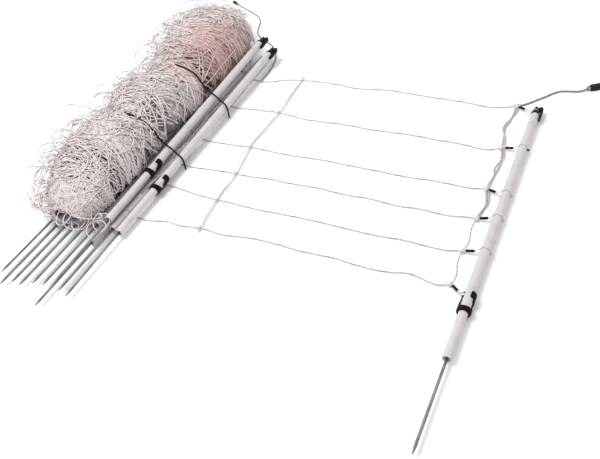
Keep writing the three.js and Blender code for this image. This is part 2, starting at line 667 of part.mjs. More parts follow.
netting.add(named("tail_right", cordAlong(tailRightRoute, TAIL_R, 22), strandMaterial));
netting.add(named("tail_right_connector", connectorGeometry([143.6, 114.4], [176, 136], 5.5, 15, 10), connectorMaterial));
netting.add(named("tail_left", cordAlong(tailLeftRoute, TAIL_R, 32), strandMaterial));
netting.add(named("tail_left_connector", connectorGeometry([-930.6, 361.3], [-957, 377], 3.6, 7, 6.5), connectorMaterial));
tieRoutes.forEach((route, i) => {
  netting.add(named(`bundle_tie_${i + 1}`, geometryOf(tieSolid(route, 0)), tieMaterial));
});

// The frame: the floor is Z = 0, and the origin is under the middle of the box round all but the cords.
const cords = /^(strand|sleeve|edge_cord|tail)/;
const box = new THREE.Box3();
netting.updateMatrixWorld(true);
netting.traverse((piece) => {
  if (piece.isMesh && !cords.test(piece.name)) {
    box.union(new THREE.Box3().setFromObject(piece, true));
  }
});
netting.position.set(-(box.min.x + box.max.x) / 2, -(box.min.y + box.max.y) / 2, -box.min.z);

export default netting;
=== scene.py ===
"""The looks of an electric fence netting: posts, spikes, clips, strands, ties and the heap of net.

Lengths are in millimetres in the net's own frame, which starts at the top knot of the edge cord, with X
along the strands and Y up the posts. at() turns them into metres in the part's frame.
"""
import math

import bmesh
import bpy
import numpy as np
from mathutils import Matrix, Vector


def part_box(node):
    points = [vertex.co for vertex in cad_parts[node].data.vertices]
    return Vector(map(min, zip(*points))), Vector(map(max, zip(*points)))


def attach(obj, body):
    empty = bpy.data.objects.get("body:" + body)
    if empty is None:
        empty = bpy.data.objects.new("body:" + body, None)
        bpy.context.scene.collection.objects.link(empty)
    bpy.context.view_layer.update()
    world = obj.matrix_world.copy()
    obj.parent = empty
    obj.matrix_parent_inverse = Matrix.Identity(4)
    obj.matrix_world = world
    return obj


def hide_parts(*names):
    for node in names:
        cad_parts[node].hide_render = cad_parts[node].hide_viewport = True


MM = 0.001
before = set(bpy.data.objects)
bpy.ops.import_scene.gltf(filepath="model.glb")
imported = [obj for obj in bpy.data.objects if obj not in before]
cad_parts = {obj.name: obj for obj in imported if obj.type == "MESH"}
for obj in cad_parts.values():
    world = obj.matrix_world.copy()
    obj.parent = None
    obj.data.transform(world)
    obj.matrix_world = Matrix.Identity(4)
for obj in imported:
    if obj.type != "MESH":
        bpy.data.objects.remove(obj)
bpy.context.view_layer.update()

# The first tube of the bundle's low row places the net's frame in the part's frame
FIRST_OF_ROW_X = -689.5
FIRST_OF_ROW_TOP_Y = 51.3
row_low, row_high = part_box("post_3_tube")
NET_ORIGIN = np.array([
    (row_low.x + row_high.x) / 2 - FIRST_OF_ROW_X * MM,
    row_high.y - FIRST_OF_ROW_TOP_Y * MM,
    0.0,
])

TUBE_R = 9.5
LOWER_TUBE_R = 8.25
SPIKE_R = 2.6
LOW_ROW_Z = 12.3
STRAND_R = 1.2
TAIL_R = 1.9
TIE_R = 2.0


def at(points):
    """Points of the net's frame, in the part's frame in metres."""
    return np.asarray(points, float) * MM + NET_ORIGIN


def linear(red, green, blue):
    """A screen colour, each channel from 0 to 255, as linear light."""
    channels = [c / 255 for c in (red, green, blue)]
    return tuple(c / 12.92 if c <= 0.04045 else ((c + 0.055) / 1.055) ** 2.4 for c in channels)


# Camera and light
IMAGE_WIDTH = 600
FOCAL_PIXELS = 679.0
SENSOR = 36.0
CAMERA_PLACE = Vector(at([162.75, -1418.55, 923.0]))
CAMERA_RIGHT = Vector((0.9118, 0.3984, -0.0999))
CAMERA_UP = Vector((-0.2053, 0.6527, 0.7293))


def make_camera():
    """The camera that took the photograph, as fitted to it."""
    data = bpy.data.cameras.new("camera")
    data.sensor_fit = "HORIZONTAL"
    data.sensor_width = SENSOR
    data.lens = FOCAL_PIXELS * SENSOR / IMAGE_WIDTH
    camera = bpy.data.objects.new("camera", data)
    bpy.context.scene.collection.objects.link(camera)
    back = CAMERA_RIGHT.cross(CAMERA_UP)
    turn = Matrix((CAMERA_RIGHT, CAMERA_UP, back)).transposed().to_4x4()
    camera.matrix_world = Matrix.Translation(CAMERA_PLACE) @ turn
    bpy.context.scene.camera = camera


def make_area_light(name, place, target, size, watts):
    """A round light at a place, turned to its target."""
    data = bpy.data.lights.new(name, "AREA")
    data.shape = "DISK"
    data.size = size
    data.energy = watts
    light = bpy.data.objects.new(name, data)
    bpy.context.scene.collection.objects.link(light)
    light.location = place
    light.rotation_euler = (Vector(target) - Vector(place)).to_track_quat("-Z", "Y").to_euler()


WORLD_STRENGTH = 0.8


def make_world():
    """Even white light from all round."""
    world = bpy.data.worlds.new("studio")
    world.use_nodes = True
    background = world.node_tree.nodes["Background"]
    background.inputs["Color"].default_value = (1, 1, 1, 1)
    background.inputs["Strength"].default_value = WORLD_STRENGTH
    bpy.context.scene.world = world
    bpy.context.scene.view_settings.view_transform = "Standard"


def make_floor():
    """A white ground."""
    half = 12
    corners = [(-half, -half, 0), (half, -half, 0), (half, half, 0), (-half, half, 0)]
    mesh = bpy.data.meshes.new("floor")
    mesh.from_pydata(corners, [], [(0, 1, 2, 3)])
    floor = bpy.data.objects.new("floor", mesh)
    bpy.context.scene.collection.objects.link(floor)
    material = bpy.data.materials.new("floor")
    material.use_nodes = True
    shader = material.node_tree.nodes["Principled BSDF"]
    shader.inputs["Base Color"].default_value = (0.98, 0.98, 0.98, 1)
    shader.inputs["Roughness"].default_value = 0.9
    mesh.materials.append(material)


make_camera()
make_world()
make_floor()
KEY_WATTS = 56
FILL_WATTS = 10
make_area_light("key", (-1.2, -0.5, 2.8), (0, 0, 0), 1.5, KEY_WATTS)
make_area_light("fill", (-1.6, 1.6, 2.0), (0, 0, 0), 2.0, FILL_WATTS)


# Materials
class Nodes:
    """Small helper that adds and links the nodes of one material."""

    def __init__(self, name, colour, roughness):
        self.material = bpy.data.materials.new(name)
        self.material.use_nodes = True
        self.material.diffuse_color = (*colour, 1)
        self.tree = self.material.node_tree
        self.shader = self.tree.nodes["Principled BSDF"]
        self.set("Base Color", (*colour, 1))
        self.set("Roughness", roughness)

    def set(self, name, value):
        self.shader.inputs[name].default_value = value

    def add(self, kind, inputs=(), **settings):
        node = self.tree.nodes.new(kind)
        for key, value in settings.items():
            setattr(node, key, value)
        for key, value in dict(inputs).items():
            if isinstance(value, bpy.types.NodeSocket):
                self.tree.links.new(value, node.inputs[key])
            else:
                node.inputs[key].default_value = value
        return node

    def math(self, operation, first, second=0.0):
        return self.add("ShaderNodeMath", {0: first, 1: second}, operation=operation).outputs[0]

    def vectors(self, operation, first, second=(0, 0, 0)):
        return self.add("ShaderNodeVectorMath", {0: first, 1: second}, operation=operation)

    def mix(self, factor, first, second):
        node = self.add("ShaderNodeMix", data_type="RGBA")
        sockets = {"Factor": factor, "A": first, "B": second}
        for socket in node.inputs:
            if socket.name in sockets and socket.enabled:
                value = sockets[socket.name]
                if isinstance(value, bpy.types.NodeSocket):
                    self.tree.links.new(value, socket)
                else:
                    socket.default_value = (*value, 1) if isinstance(value, tuple) else value
        return next(socket for socket in node.outputs if socket.enabled)

    def noise(self, scale, detail=2.0, vector=None, roughness=0.5):
        inputs = {"Scale": scale, "Detail": detail, "Roughness": roughness}
        inputs["Vector"] = vector or self.place()
        return self.add("ShaderNodeTexNoise", inputs).outputs["Fac"]

    def place(self):
        return self.add("ShaderNodeTexCoord").outputs["Object"]

    def steps(self, value, low, high):
        node = self.add("ShaderNodeMapRange", {"Value": value, "From Min": low, "From Max": high})
        return node.outputs["Result"]

    def stretched(self, scale, vector=None):
        vector = vector or self.place()
        return self.add("ShaderNodeMapping", {"Vector": vector, "Scale": scale}).outputs["Vector"]

    def bump(self, height, distance, strength=1.0):
        node = self.add("ShaderNodeBump", {"Height": height, "Distance": distance, "Strength": strength})
        self.tree.links.new(node.outputs["Normal"], self.shader.inputs["Normal"])

    def colour(self, socket):
        self.tree.links.new(socket, self.shader.inputs["Base Color"])

    def roughness(self, socket):
        self.tree.links.new(socket, self.shader.inputs["Roughness"])


def post_plastic():
    """White hard plastic tube: faint streaks along it, scuffs and a little dirt."""
    nodes = Nodes("post_plastic", linear(215, 210, 213), 0.4)
    streaks = nodes.noise(60, 4, nodes.stretched((1, 0.05, 1)))
    dirt = nodes.steps(nodes.noise(45, 6), 0.55, 0.8)
    plain = nodes.mix(streaks, linear(190, 184, 186), linear(211, 205, 207))
    nodes.colour(nodes.mix(nodes.math("MULTIPLY", dirt, 0.4), plain, linear(160, 150, 151)))
    nodes.roughness(nodes.steps(nodes.noise(120, 3), -0.9, 2.1))
    nodes.bump(nodes.noise(300, 3, nodes.stretched((1, 0.06, 1))), 0.0002, 0.5)
    return nodes.material


def black_plastic():
    """Black moulded plastic with a fine grain."""
    nodes = Nodes("black_plastic", linear(14, 12, 13), 0.5)
    nodes.set("Specular IOR Level", 0.08)
    worn = nodes.steps(nodes.noise(180, 5), 0.5, 0.85)
    nodes.colour(nodes.mix(worn, linear(14, 11, 13), linear(42, 37, 39)))
    nodes.bump(nodes.noise(1600, 2), 0.00012, 0.6)
    return nodes.material


def spike_steel():
    """Zinc-plated steel: dull grey with brighter and darker patches and drawn lines."""
    nodes = Nodes("spike_steel", linear(150, 152, 154), 0.45)
    nodes.set("Metallic", 0.85)
    patches = nodes.noise(160, 4, nodes.stretched((1, 0.15, 1)))
    nodes.colour(nodes.mix(nodes.steps(patches, 0.3, 0.7), linear(84, 87, 90), linear(150, 152, 155)))
    nodes.roughness(nodes.steps(nodes.noise(400, 3), -1.0, 1.9))
    nodes.bump(nodes.noise(900, 2, nodes.stretched((1, 0.05, 1))), 0.00008, 0.7)
    return nodes.material


PINK_CENTRE = at([-752, -85, 88])
PINK_REACH = (0.1, 0.14, 0.08)


def pinkness(nodes):
    """How near a point is to the reddish stretch of the heap, from 0 to 1."""
    inverse = tuple(1 / reach for reach in PINK_REACH)
    away = nodes.vectors("SUBTRACT", nodes.place(), tuple(PINK_CENTRE)).outputs[0]
    scaled = nodes.vectors("MULTIPLY", away, inverse).outputs[0]
    length = nodes.vectors("LENGTH", scaled).outputs["Value"]
    return nodes.steps(nodes.math("SUBTRACT", 1.35, length), 0.0, 0.9)


def twine(name, pale, wire, pitch, plies, pink=0.0, twist_depth=0.0003, wire_share=0.5):
    """Twisted twine. The twist attribute holds the way along the cord in metres and round it in turns."""
    nodes = Nodes(name, pale, 0.5)
    twist = nodes.add("ShaderNodeAttribute", attribute_name="twist").outputs["Vector"]
    split = nodes.add("ShaderNodeSeparateXYZ", {0: twist})
    along = nodes.math("MULTIPLY", split.outputs["X"], 1 / pitch)
    turns = nodes.math("ADD", nodes.math("MULTIPLY", split.outputs["Y"], plies), along)
    wave = nodes.math("SINE", nodes.math("MULTIPLY", turns, 2 * math.pi))
    wire_turns = nodes.math("ADD", split.outputs["Y"], nodes.math("DIVIDE", along, plies))
    wire_wave = nodes.math("SINE", nodes.math("MULTIPLY", wire_turns, 2 * math.pi))
    on_wire = nodes.math("MULTIPLY", nodes.steps(wire_wave, 0.82, 0.95), wire_share)
    tone = nodes.mix(nodes.noise(40, 3), pale, tuple(0.86 * c for c in pale))
    shown = nodes.mix(on_wire, tone, wire)
    if pink:
        near = nodes.math("MULTIPLY", pinkness(nodes), pink)
        shown = nodes.mix(near, shown, linear(205, 146, 142))
    nodes.colour(shown)
    nodes.set("Specular IOR Level", 0.2)
    nodes.bump(wave, twist_depth, 0.8)
    return nodes.material


def painted_shade_core_material():
    """The inside of the heap, as the strands behind the outer ones, with their shade painted in as darker
    colour.
    """
    nodes = Nodes("heap_inside", linear(150, 143, 144), 0.85)
    wavy = nodes.add("ShaderNodeTexNoise", {"Vector": nodes.place(), "Scale": 14.0, "Detail": 3.0})
    shifted = nodes.vectors("ADD", nodes.place(), wavy.outputs["Color"]).outputs[0]
    lines = nodes.noise(90, 2, nodes.stretched((0.6, 3.5, 0.6), shifted))
    # Painted shade: the dark and grey lines stand for the shaded strands deep in the heap
    tone = nodes.mix(nodes.steps(lines, 0.35, 0.65), linear(92, 84, 85), linear(172, 164, 164))
    near = nodes.math("MULTIPLY", pinkness(nodes), 0.8)
    # Painted shade: a dark red where the reddish stretch lies in the heap's shade
    nodes.colour(nodes.mix(near, tone, linear(120, 54, 58)))
    nodes.bump(lines, 0.003, 0.9)
    return nodes.material


def stay_plastic():
    """Milky, slightly see-through plastic strip."""
    nodes = Nodes("stay_plastic", linear(226, 223, 219), 0.45)
    cloudy = nodes.noise(70, 3, nodes.stretched((1, 0.2, 1)))
    nodes.colour(nodes.mix(cloudy, linear(186, 180, 177), linear(208, 204, 201)))
    nodes.set("Subsurface Weight", 0.15)
    nodes.set("Subsurface Radius", (0.002, 0.002, 0.002))
    nodes.bump(nodes.noise(500, 2), 0.0002, 0.4)
    return nodes.material


def connector_plastic():
    """Dark brown-black moulded plastic, a little worn."""
    nodes = Nodes("connector", linear(48, 38, 35), 0.45)
    worn = nodes.steps(nodes.noise(160, 5), 0.4, 0.8)
    nodes.colour(nodes.mix(worn, linear(18, 13, 12), linear(52, 42, 39)))
    nodes.set("Specular IOR Level", 0.15)
    nodes.bump(nodes.noise(900, 3), 0.0002, 0.6)
    return nodes.material


def zinc_crimp():
    """The grey metal band between a tail and its connector."""
    nodes = Nodes("crimp", linear(150, 148, 146), 0.4)
    nodes.set("Metallic", 0.9)
    nodes.colour(nodes.mix(nodes.noise(500, 4), linear(120, 118, 116), linear(178, 176, 174)))
    nodes.bump(nodes.noise(900, 2), 0.0001, 0.6)
    return nodes.material


POST = post_plastic()
BLACK = black_plastic()
STEEL = spike_steel()
STRAND = twine("strand", linear(206, 201, 198), linear(96, 91, 89), 0.018, 3, wire_share=0.9)
HEAP_STRAND = twine(
    "heap_strand", linear(237, 228, 226), linear(146, 135, 135), 0.018, 3, pink=0.55, wire_share=0.6
)
EDGE = twine("edge_cord", linear(206, 201, 198), linear(146, 141, 139), 0.03, 3, wire_share=0.5)
KNOT = twine("knot", linear(226, 219, 218), linear(178, 168, 168), 0.012, 3, wire_share=0.4)
TAIL = twine("tail_cord", linear(148, 144, 143), linear(88, 84, 84), 0.02, 3, wire_share=0.6)
TIE = twine("tie_cord", linear(12, 9, 10), linear(28, 23, 25), 0.006, 4, twist_depth=0.0004)
# The heap's inside, darkened with painted shade
PAINTED_SHADE_CORE = painted_shade_core_material()
STAY = stay_plastic()
CONNECTOR = connector_plastic()
CRIMP = zinc_crimp()


# Shapes
def new_piece(name, mesh, material, replaces=(), matrix=None):
    """A piece of the object that rides on the one body."""
    piece = bpy.data.objects.new(name, mesh)
    if not mesh.materials:
        mesh.materials.append(material)
    bpy.context.scene.collection.objects.link(piece)
    if matrix is not None:
        piece.matrix_world = matrix
    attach(piece, "root")
    if replaces:
        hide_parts(*replaces)
    return piece


def smoothed(points, step):
    """A centripetal Catmull-Rom curve through the points, with a point about every step."""
    points = np.asarray(points, float)
    first = 2 * points[0] - points[1]
    last = 2 * points[-1] - points[-2]
    line = np.vstack([first, points, last])
    made = []
    for before, start, end, after in zip(line, line[1:], line[2:], line[3:]):
        knots = [0.0]
        for a, b in ((before, start), (start, end), (end, after)):
            knots.append(knots[-1] + max(np.linalg.norm(b - a), 1e-6) ** 0.5)
        count = max(2, int(np.linalg.norm(end - start) / step))
        t = np.linspace(knots[1], knots[2], count, endpoint=False)[:, None]

        def between(a, b, low, high):
            return ((high - t) * a + (t - low) * b) / (high - low)

        a1 = between(before, start, knots[0], knots[1])
        a2 = between(start, end, knots[1], knots[2])
        a3 = between(end, after, knots[2], knots[3])
        b1 = between(a1, a2, knots[0], knots[2])
        b2 = between(a2, a3, knots[1], knots[3])
        made.append(between(b1, b2, knots[1], knots[2]))
    made.append(points[-1:])
    return np.vstack(made)


def shade(mesh, smooth=True):
    """Smooth or flat shading for the whole mesh."""
    mesh.polygons.foreach_set("use_smooth", np.full(len(mesh.polygons), smooth))


# A direction that no path starts along
FIRST_SIDE = (0.31, 0.17, 0.93)


def sides_along(path, up=None):
    """Two directions across each of several paths, turned as little as possible from point to point."""
    ahead = np.gradient(path, axis=1)
    ahead /= np.linalg.norm(ahead, axis=2, keepdims=True)
    side = np.empty_like(path)
    towards = np.broadcast_to(np.array(FIRST_SIDE if up is None else up, float), (len(path), 3))
    for i in range(path.shape[1]):
        across = towards - (towards * ahead[:, i]).sum(1, keepdims=True) * ahead[:, i]
        side[:, i] = across / np.linalg.norm(across, axis=1, keepdims=True)
        if up is None:
            towards = side[:, i]
    return side, np.cross(ahead, side)


def circle(radius, sides):
    """The points of a round outline."""
    angle = np.arange(sides) / sides * 2 * math.pi
    return np.column_stack([np.cos(angle), np.sin(angle)]) * radius


def swept_mesh(name, paths, outline, up=None, turns=None):
    """One mesh of the outline swept along each path, closed at both ends, with the twist attribute.

    A path is an array of points, or several paths of as many points each. turns gives each point's turn."""
    vertices, faces, twist = [], [], []
    start = 0
    corners = len(outline)
    around = np.arange(corners + 1) / corners
    for path in paths:
        path = np.asarray(path, float)
        path = path[None] if path.ndim == 2 else path
        count, points = path.shape[:2]
        side, other = sides_along(path, up)
        if turns is not None:
            cosine, sine = np.cos(turns)[None, :, None], np.sin(turns)[None, :, None]
            side, other = side * cosine + other * sine, other * cosine - side * sine
        ring = path[:, :, None] + side[:, :, None] * outline[:, :1] + other[:, :, None] * outline[:, 1:]
        vertices.append(ring.reshape(-1, 3))
        length = np.zeros((count, points))
        length[:, 1:] = np.cumsum(np.linalg.norm(np.diff(path, axis=1), axis=2), axis=1) * MM
        base = start + np.arange(count)[:, None, None] * points * corners
        row = base + np.arange(points - 1)[None, :, None] * corners
        now = np.arange(corners)[None, None, :]
        then = (now + 1) % corners
        quads = np.stack([row + now, row + then, row + then + corners, row + now + corners], axis=-1)
        faces.extend(quads.reshape(-1, 4).tolist())
        low = np.repeat(length[:, :-1, None], corners, 2)
        high = np.repeat(length[:, 1:, None], corners, 2)
        left = np.broadcast_to(around[:-1], low.shape)
        right = np.broadcast_to(around[1:], low.shape)
        nothing = np.zeros_like(low)
        pairs = [(low, left), (low, right), (high, right), (high, left)]
        quad_twist = np.stack([np.stack([a, b, nothing], -1) for a, b in pairs], axis=-2)
        twist.append(quad_twist.reshape(-1, 3))
        for s in range(count):
            first = start + s * points * corners
            last = first + (points - 1) * corners
            faces.append(list(range(first + corners - 1, first - 1, -1)))
            faces.append(list(range(last, last + corners)))
            twist.append(np.zeros((2 * corners, 3)))
        start += count * points * corners
    mesh = bpy.data.meshes.new(name)
    mesh.from_pydata((np.vstack(vertices) * MM + NET_ORIGIN).tolist(), [], faces)
    attribute = mesh.attributes.new("twist", "FLOAT_VECTOR", "CORNER")
    attribute.data.foreach_set("vector", np.vstack(twist).astype(np.float32).ravel())
    shade(mesh)
    mesh.update()
    return mesh


def cord_piece(name, paths, radius, sides, material, replaces):
    """A piece of round cord along some paths."""
    new_piece(name, swept_mesh(name, paths, circle(radius, sides)), material, replaces)


def free_cord(name, mesh, material, replaces):
    """The piece of a free cord."""
    piece = new_piece(name, mesh, material, replaces)


# The strands: where each meets the edge cord, and its way over the stay to the bundle
STAY_Z = 3.6
STRAND_ROUTES = [
    [[0, 0, 4.5], [-22, -7, 2.5], [-60, -15, 1.6], [-100, -12, 2.4], [-141, -8, 1.6], [-183, -9, 2.6],
     [-226, -6, 1.6], [-270, -5, 2], [-314, -4, 3], [-357, -10, 1.6], [-401, -15, 2.2], [-450, -8, 1.6],
     [-497, -9, 2], [-545, -15, STAY_Z], [-590, -22, 2.2], [-622, -38, 1.6], [-645, -44, 2]],
    [[1, -169, 4.5], [-22, -180, 2.5], [-48, -181, 1.6], [-90, -176, 2.4], [-146, -175, 1.6],
     [-187, -173, 2.4], [-250, -174, 1.6], [-308, -177, 2.6], [-352, -173, 1.6], [-410, -176, 2.2],
     [-470, -177, 1.6], [-541, -170, STAY_Z], [-590, -170, 2], [-627, -172, 1.6], [-645, -176, 2]],
    [[-1, -316, 4.5], [-24, -319, 2.5], [-56, -319, 1.6], [-110, -318, 2.4], [-165, -321, 1.6],
     [-242, -320, 2.6], [-300, -318, 1.6], [-362, -317, 2.4], [-430, -320, 1.6], [-489, -320, 2.2],
     [-545, -319, STAY_Z], [-590, -321, 2], [-622, -322, 1.6], [-645, -323, 2]],
    [[0, -410, 4.5], [-22, -410, 2.5], [-58, -415, 1.6], [-110, -413, 2.4], [-160, -416, 1.6],
     [-218, -412, 2.4], [-275, -414, 1.6], [-333, -411, 2.6], [-400, -413, 1.6], [-454, -413, 2.2],
     [-500, -417, 1.8], [-533, -418, STAY_Z], [-580, -419, 2], [-620, -422, 1.6], [-645, -424, 2]],
    [[-3, -505, 4.5], [-26, -510, 2.5], [-60, -511, 1.6], [-111, -509, 2.4], [-180, -512, 1.6],
     [-251, -511, 2.6], [-326, -509, 1.6], [-390, -511, 2.4], [-442, -512, 1.6], [-490, -510, 2.2],
     [-529, -511, STAY_Z], [-570, -508, 2], [-614, -503, 1.6], [-645, -498, 2]],
    [[-2, -594, 4.5], [-24, -601, 2.5], [-50, -596, 1.6], [-82, -590, 2.4], [-120, -598, 1.6],
     [-175, -600, 2.4], [-230, -595, 1.6], [-290, -598, 2.6], [-354, -594, 1.6], [-410, -595, 2.2],
     [-466, -603, 1.6], [-521, -601, STAY_Z], [-560, -606, 2], [-600, -604, 1.6], [-645, -613, 2]],
]
OUTER_POST_X = -667.0


def into_the_heap(y, tube_radius):
    """A strand's way under the outer post, up round the first of the row and over it into the heap."""
    bend = tube_radius + 2.0
    points = [[OUTER_POST_X + 7, y, 2.8], [OUTER_POST_X - 4, y, 3.6]]
    for degrees in (-38, -14, 12, 38, 64, 88):
        angle = math.radians(degrees)
        points.append([FIRST_OF_ROW_X + bend * math.cos(angle), y, LOW_ROW_Z + bend * math.sin(angle)])
    for x, rise in ((-12.5, 0), (-24, 1), (-34, 3)):
        points.append([FIRST_OF_ROW_X + x, y, LOW_ROW_Z + bend + rise])
    return points


for level, route in enumerate(STRAND_ROUTES):
    tube_radius = LOWER_TUBE_R if level == 5 else TUBE_R
    path = smoothed(route + into_the_heap(route[-1][1], tube_radius), 4.0)
    name = f"spread_strand_{level + 1}"
    mesh = swept_mesh(name, [path], circle(STRAND_R, 8))
    free_cord(name, mesh, STRAND, [f"strand_{level + 1}"])


# The heap of net: cross-sections along Y, each with its left edge, right edge and height
HEAP_SECTIONS = np.array([
    [-690, -815, -760, 45],
    [-672, -850, -735, 68],
    [-625, -885, -716, 100],
    [-540, -905, -713, 124],
    [-470, -902, -713, 124],
    [-405, -885, -713, 102],
    [-350, -908, -713, 120],
    [-285, -925, -713, 128],
    [-215, -892, -713, 106],
    [-150, -915, -713, 128],
    [-50, -937, -713, 138],
    [60, -945, -714, 132],
    [100, -948, -738, 120],
    [145, -948, -772, 100],
    [190, -940, -812, 76],
    [222, -915, -850, 50],
], float)
OVER_ROW_Z = 30.0
FLOOR_EDGE_Z = 7.0
# How full the heap is across and upwards, where 1 would make it an ellipse and less is squarer
FULL_ACROSS = 0.8
FULL_UP = 0.75
table_y = np.arange(HEAP_SECTIONS[0, 0], HEAP_SECTIONS[-1, 0] + 1, 4.0)
weights = np.exp(-0.5 * (np.arange(-8, 9) / 3.5) ** 2)
weights /= weights.sum()


def smooth_column(column):
    """One measure of the sections along the heap, smoothed."""
    line = np.interp(table_y, HEAP_SECTIONS[:, 0], HEAP_SECTIONS[:, column])
    return np.convolve(np.pad(line, 8, mode="edge"), weights, mode="valid")


heap_left, heap_right, heap_height = (smooth_column(column) for column in (1, 2, 3))


def heap_point(y, angle, share):
    """A point of the heap: angle 0 is its right edge and pi its left one, share 1 is its outer skin."""
    left = np.interp(y, table_y, heap_left)
    right = np.interp(y, table_y, heap_right)
    height = np.interp(y, table_y, heap_height)
    cosine, sine = np.cos(angle), np.clip(np.sin(angle), 0, 1)
    across = np.sign(cosine) * np.abs(cosine) ** FULL_ACROSS
    middle = (left + right) / 2
    base = OVER_ROW_Z + (FLOOR_EDGE_Z - OVER_ROW_Z) * np.clip((angle / math.pi - 0.55) / 0.4, 0, 1)
    x = middle + across * (right - left) / 2
    z = base + sine ** FULL_UP * (height - base)
    centre_z = 0.42 * height + 8
    return np.stack([middle + share * (x - middle), y, centre_z + share * (z - centre_z)], axis=-1)


def wander(rng, t, slowest, fastest, terms=4):
    """Smooth random movement over t, about from -1 to 1."""
    total = np.zeros_like(t)
    for _ in range(terms):
        total += np.sin(t * rng.uniform(slowest, fastest) + rng.uniform(0, 2 * math.pi))
    return total / terms ** 0.5 / 1.2


HEAP_NEAR_Y = -683.0
HEAP_FAR_Y = 216.0
TURN_POINTS = 60


def on_the_heap(y, angle, share):
    """Points of the heap kept off its ends, its flat underside and the floor."""
    y = np.clip(y, HEAP_NEAR_Y, HEAP_FAR_Y)
    points = heap_point(y, np.clip(angle, 0.02, math.pi - 0.005), share)
    points[..., 2] = np.maximum(points[..., 2], STRAND_R + 0.4)
    return points


def wound_group(rng, members, turns, low_y, high_y):
    """Strands side by side that go over the heap and back again and again."""
    t = np.linspace(0, 2 * math.pi * turns, turns * TURN_POINTS)
    start = rng.uniform(low_y, high_y)
    drift = rng.uniform(-60, 60)
    tilt = rng.normal(0, 24) + 18 * wander(rng, t, 0.03, 0.2)
    bow = rng.normal(0, 16)
    loop = 6 + 12 * np.abs(wander(rng, t, 0.05, 0.3))
    reach = 0.475 + 0.03 * wander(rng, t, 0.1, 0.6)
    layer = rng.uniform(0.8, 0.985)
    slow = 9 * wander(rng, t, 0.4, 1.4)
    paths = []
    for _ in range(members):
        angle = math.pi * (0.5 - reach * np.cos(t)) + 0.05 * wander(rng, t, 0.4, 2.0)
        across = (angle / math.pi - 0.5) * 2
        y = start + drift * t / t[-1] + tilt * across + bow * (1 - across ** 2) + loop * np.sin(t) + slow
        y = y + rng.normal(0, 11) + 5 * wander(rng, t, 0.3, 1.8)
        share = layer + rng.normal(0, 0.02) + 0.03 * wander(rng, t, 0.3, 1.3)
        loose = np.clip(wander(rng, t, 0.2, 0.8) - 0.5, 0, 1) * np.clip((angle / math.pi - 0.5) * 3, 0, 1)
        share = np.minimum(share, 1.0) + 0.2 * loose
        paths.append(on_the_heap(y, angle, share))
    return np.stack(paths)


def crossing_strand(rng, low_y, high_y):
    """A strand that crosses the others on the heap's skin at a slant."""
    t = np.linspace(0, 1, 90)
    ends = rng.uniform(0.03, 0.22), rng.uniform(0.62, 0.96)
    angle = math.pi * (ends[0] + (ends[1] - ends[0]) * t) + 0.12 * wander(rng, t, 2, 8)
    slant = rng.choice([-1, 1]) * rng.uniform(50, 150)
    y = rng.uniform(low_y, high_y) + slant * (t - 0.5) + 14 * wander(rng, t, 2, 8)
    share = 0.985 + 0.03 * wander(rng, t, 3, 12)
    return on_the_heap(y, angle, share)


def curled_strand(rng, low_y, high_y, first_turn, last_turn):
    """A strand that lies on the heap in loops, round a middle between two shares of half a turn."""
    turns = 4
    t = np.linspace(0, 2 * math.pi * turns, turns * 30)
    start = rng.uniform(low_y, high_y)
    drift = np.linspace(0, rng.uniform(-90, 90), len(t))
    middle = start + drift + 14 * wander(rng, t, 0.1, 0.4)
    centre = math.pi * (rng.uniform(first_turn, last_turn) + 0.05 * wander(rng, t, 0.1, 0.5))
    width = 0.34 + 0.16 * wander(rng, t, 0.1, 0.5)
    y = middle + (24 + 14 * wander(rng, t, 0.1, 0.6)) * np.sin(t + rng.uniform(-0.6, 0.6))
    share = rng.uniform(0.97, 1.04) + 0.04 * wander(rng, t, 0.4, 1.5)
    return on_the_heap(y, centre + width * np.cos(t), share)


def end_strand(rng):
    """A strand that comes over the top of the near bulge and down its end between the posts' spikes."""
    t = np.linspace(0, 1, 70)
    first = rng.uniform(0.12, 0.9)
    last = rng.uniform(0.4, 0.62)
    upper = (1 - t) ** 0.7
    angle = math.pi * (first * upper + last * (1 - upper))
    y = rng.uniform(-640, -560) + (HEAP_NEAR_Y + 560) * np.minimum(1, t * 1.25)
    share = 1.0 - np.clip(t - 0.72, 0, 1) + 0.02 * wander(rng, t, 4, 14)
    return on_the_heap(y + 6 * wander(rng, t, 4, 12), angle + 0.05 * wander(rng, t, 4, 14), share)


# Stretches of the heap, each from one Y to another with its number of wound groups
HEAP_BANDS = [(-683, -500, 7), (-520, -330, 6), (-350, -150, 6), (-170, 30, 7), (10, 222, 7)]
CROSSING_STRANDS = 37
LEFT_CURLED_STRANDS = 10
TOP_CURLED_STRANDS = 3
END_STRANDS = 34


def heap_strands():
    """The strands of the heap, in one piece for each stretch of it."""
    for number, (low_y, high_y, groups) in enumerate(HEAP_BANDS, 1):
        rng = np.random.default_rng(100 + number)
        sets = [wound_group(rng, 5, 4, low_y, high_y) for _ in range(groups)]
        kinds = [
            (CROSSING_STRANDS, lambda: crossing_strand(rng, low_y, high_y)),
            (LEFT_CURLED_STRANDS, lambda: curled_strand(rng, low_y, high_y, 0.5, 0.9)),
            (TOP_CURLED_STRANDS, lambda: curled_strand(rng, low_y, high_y, 0.3, 0.6)),
        ]
        if number == 1:
            kinds.append((END_STRANDS, lambda: end_strand(rng)))
        for count, strand in kinds:
            sets.append(np.stack([strand() for _ in range(count)]))
        cord_piece(f"heap_net_{number}", sets, STRAND_R, 5, HEAP_STRAND, ["net_heap"])


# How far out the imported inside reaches, as a share of the heap
CORE_SHARE = 0.83


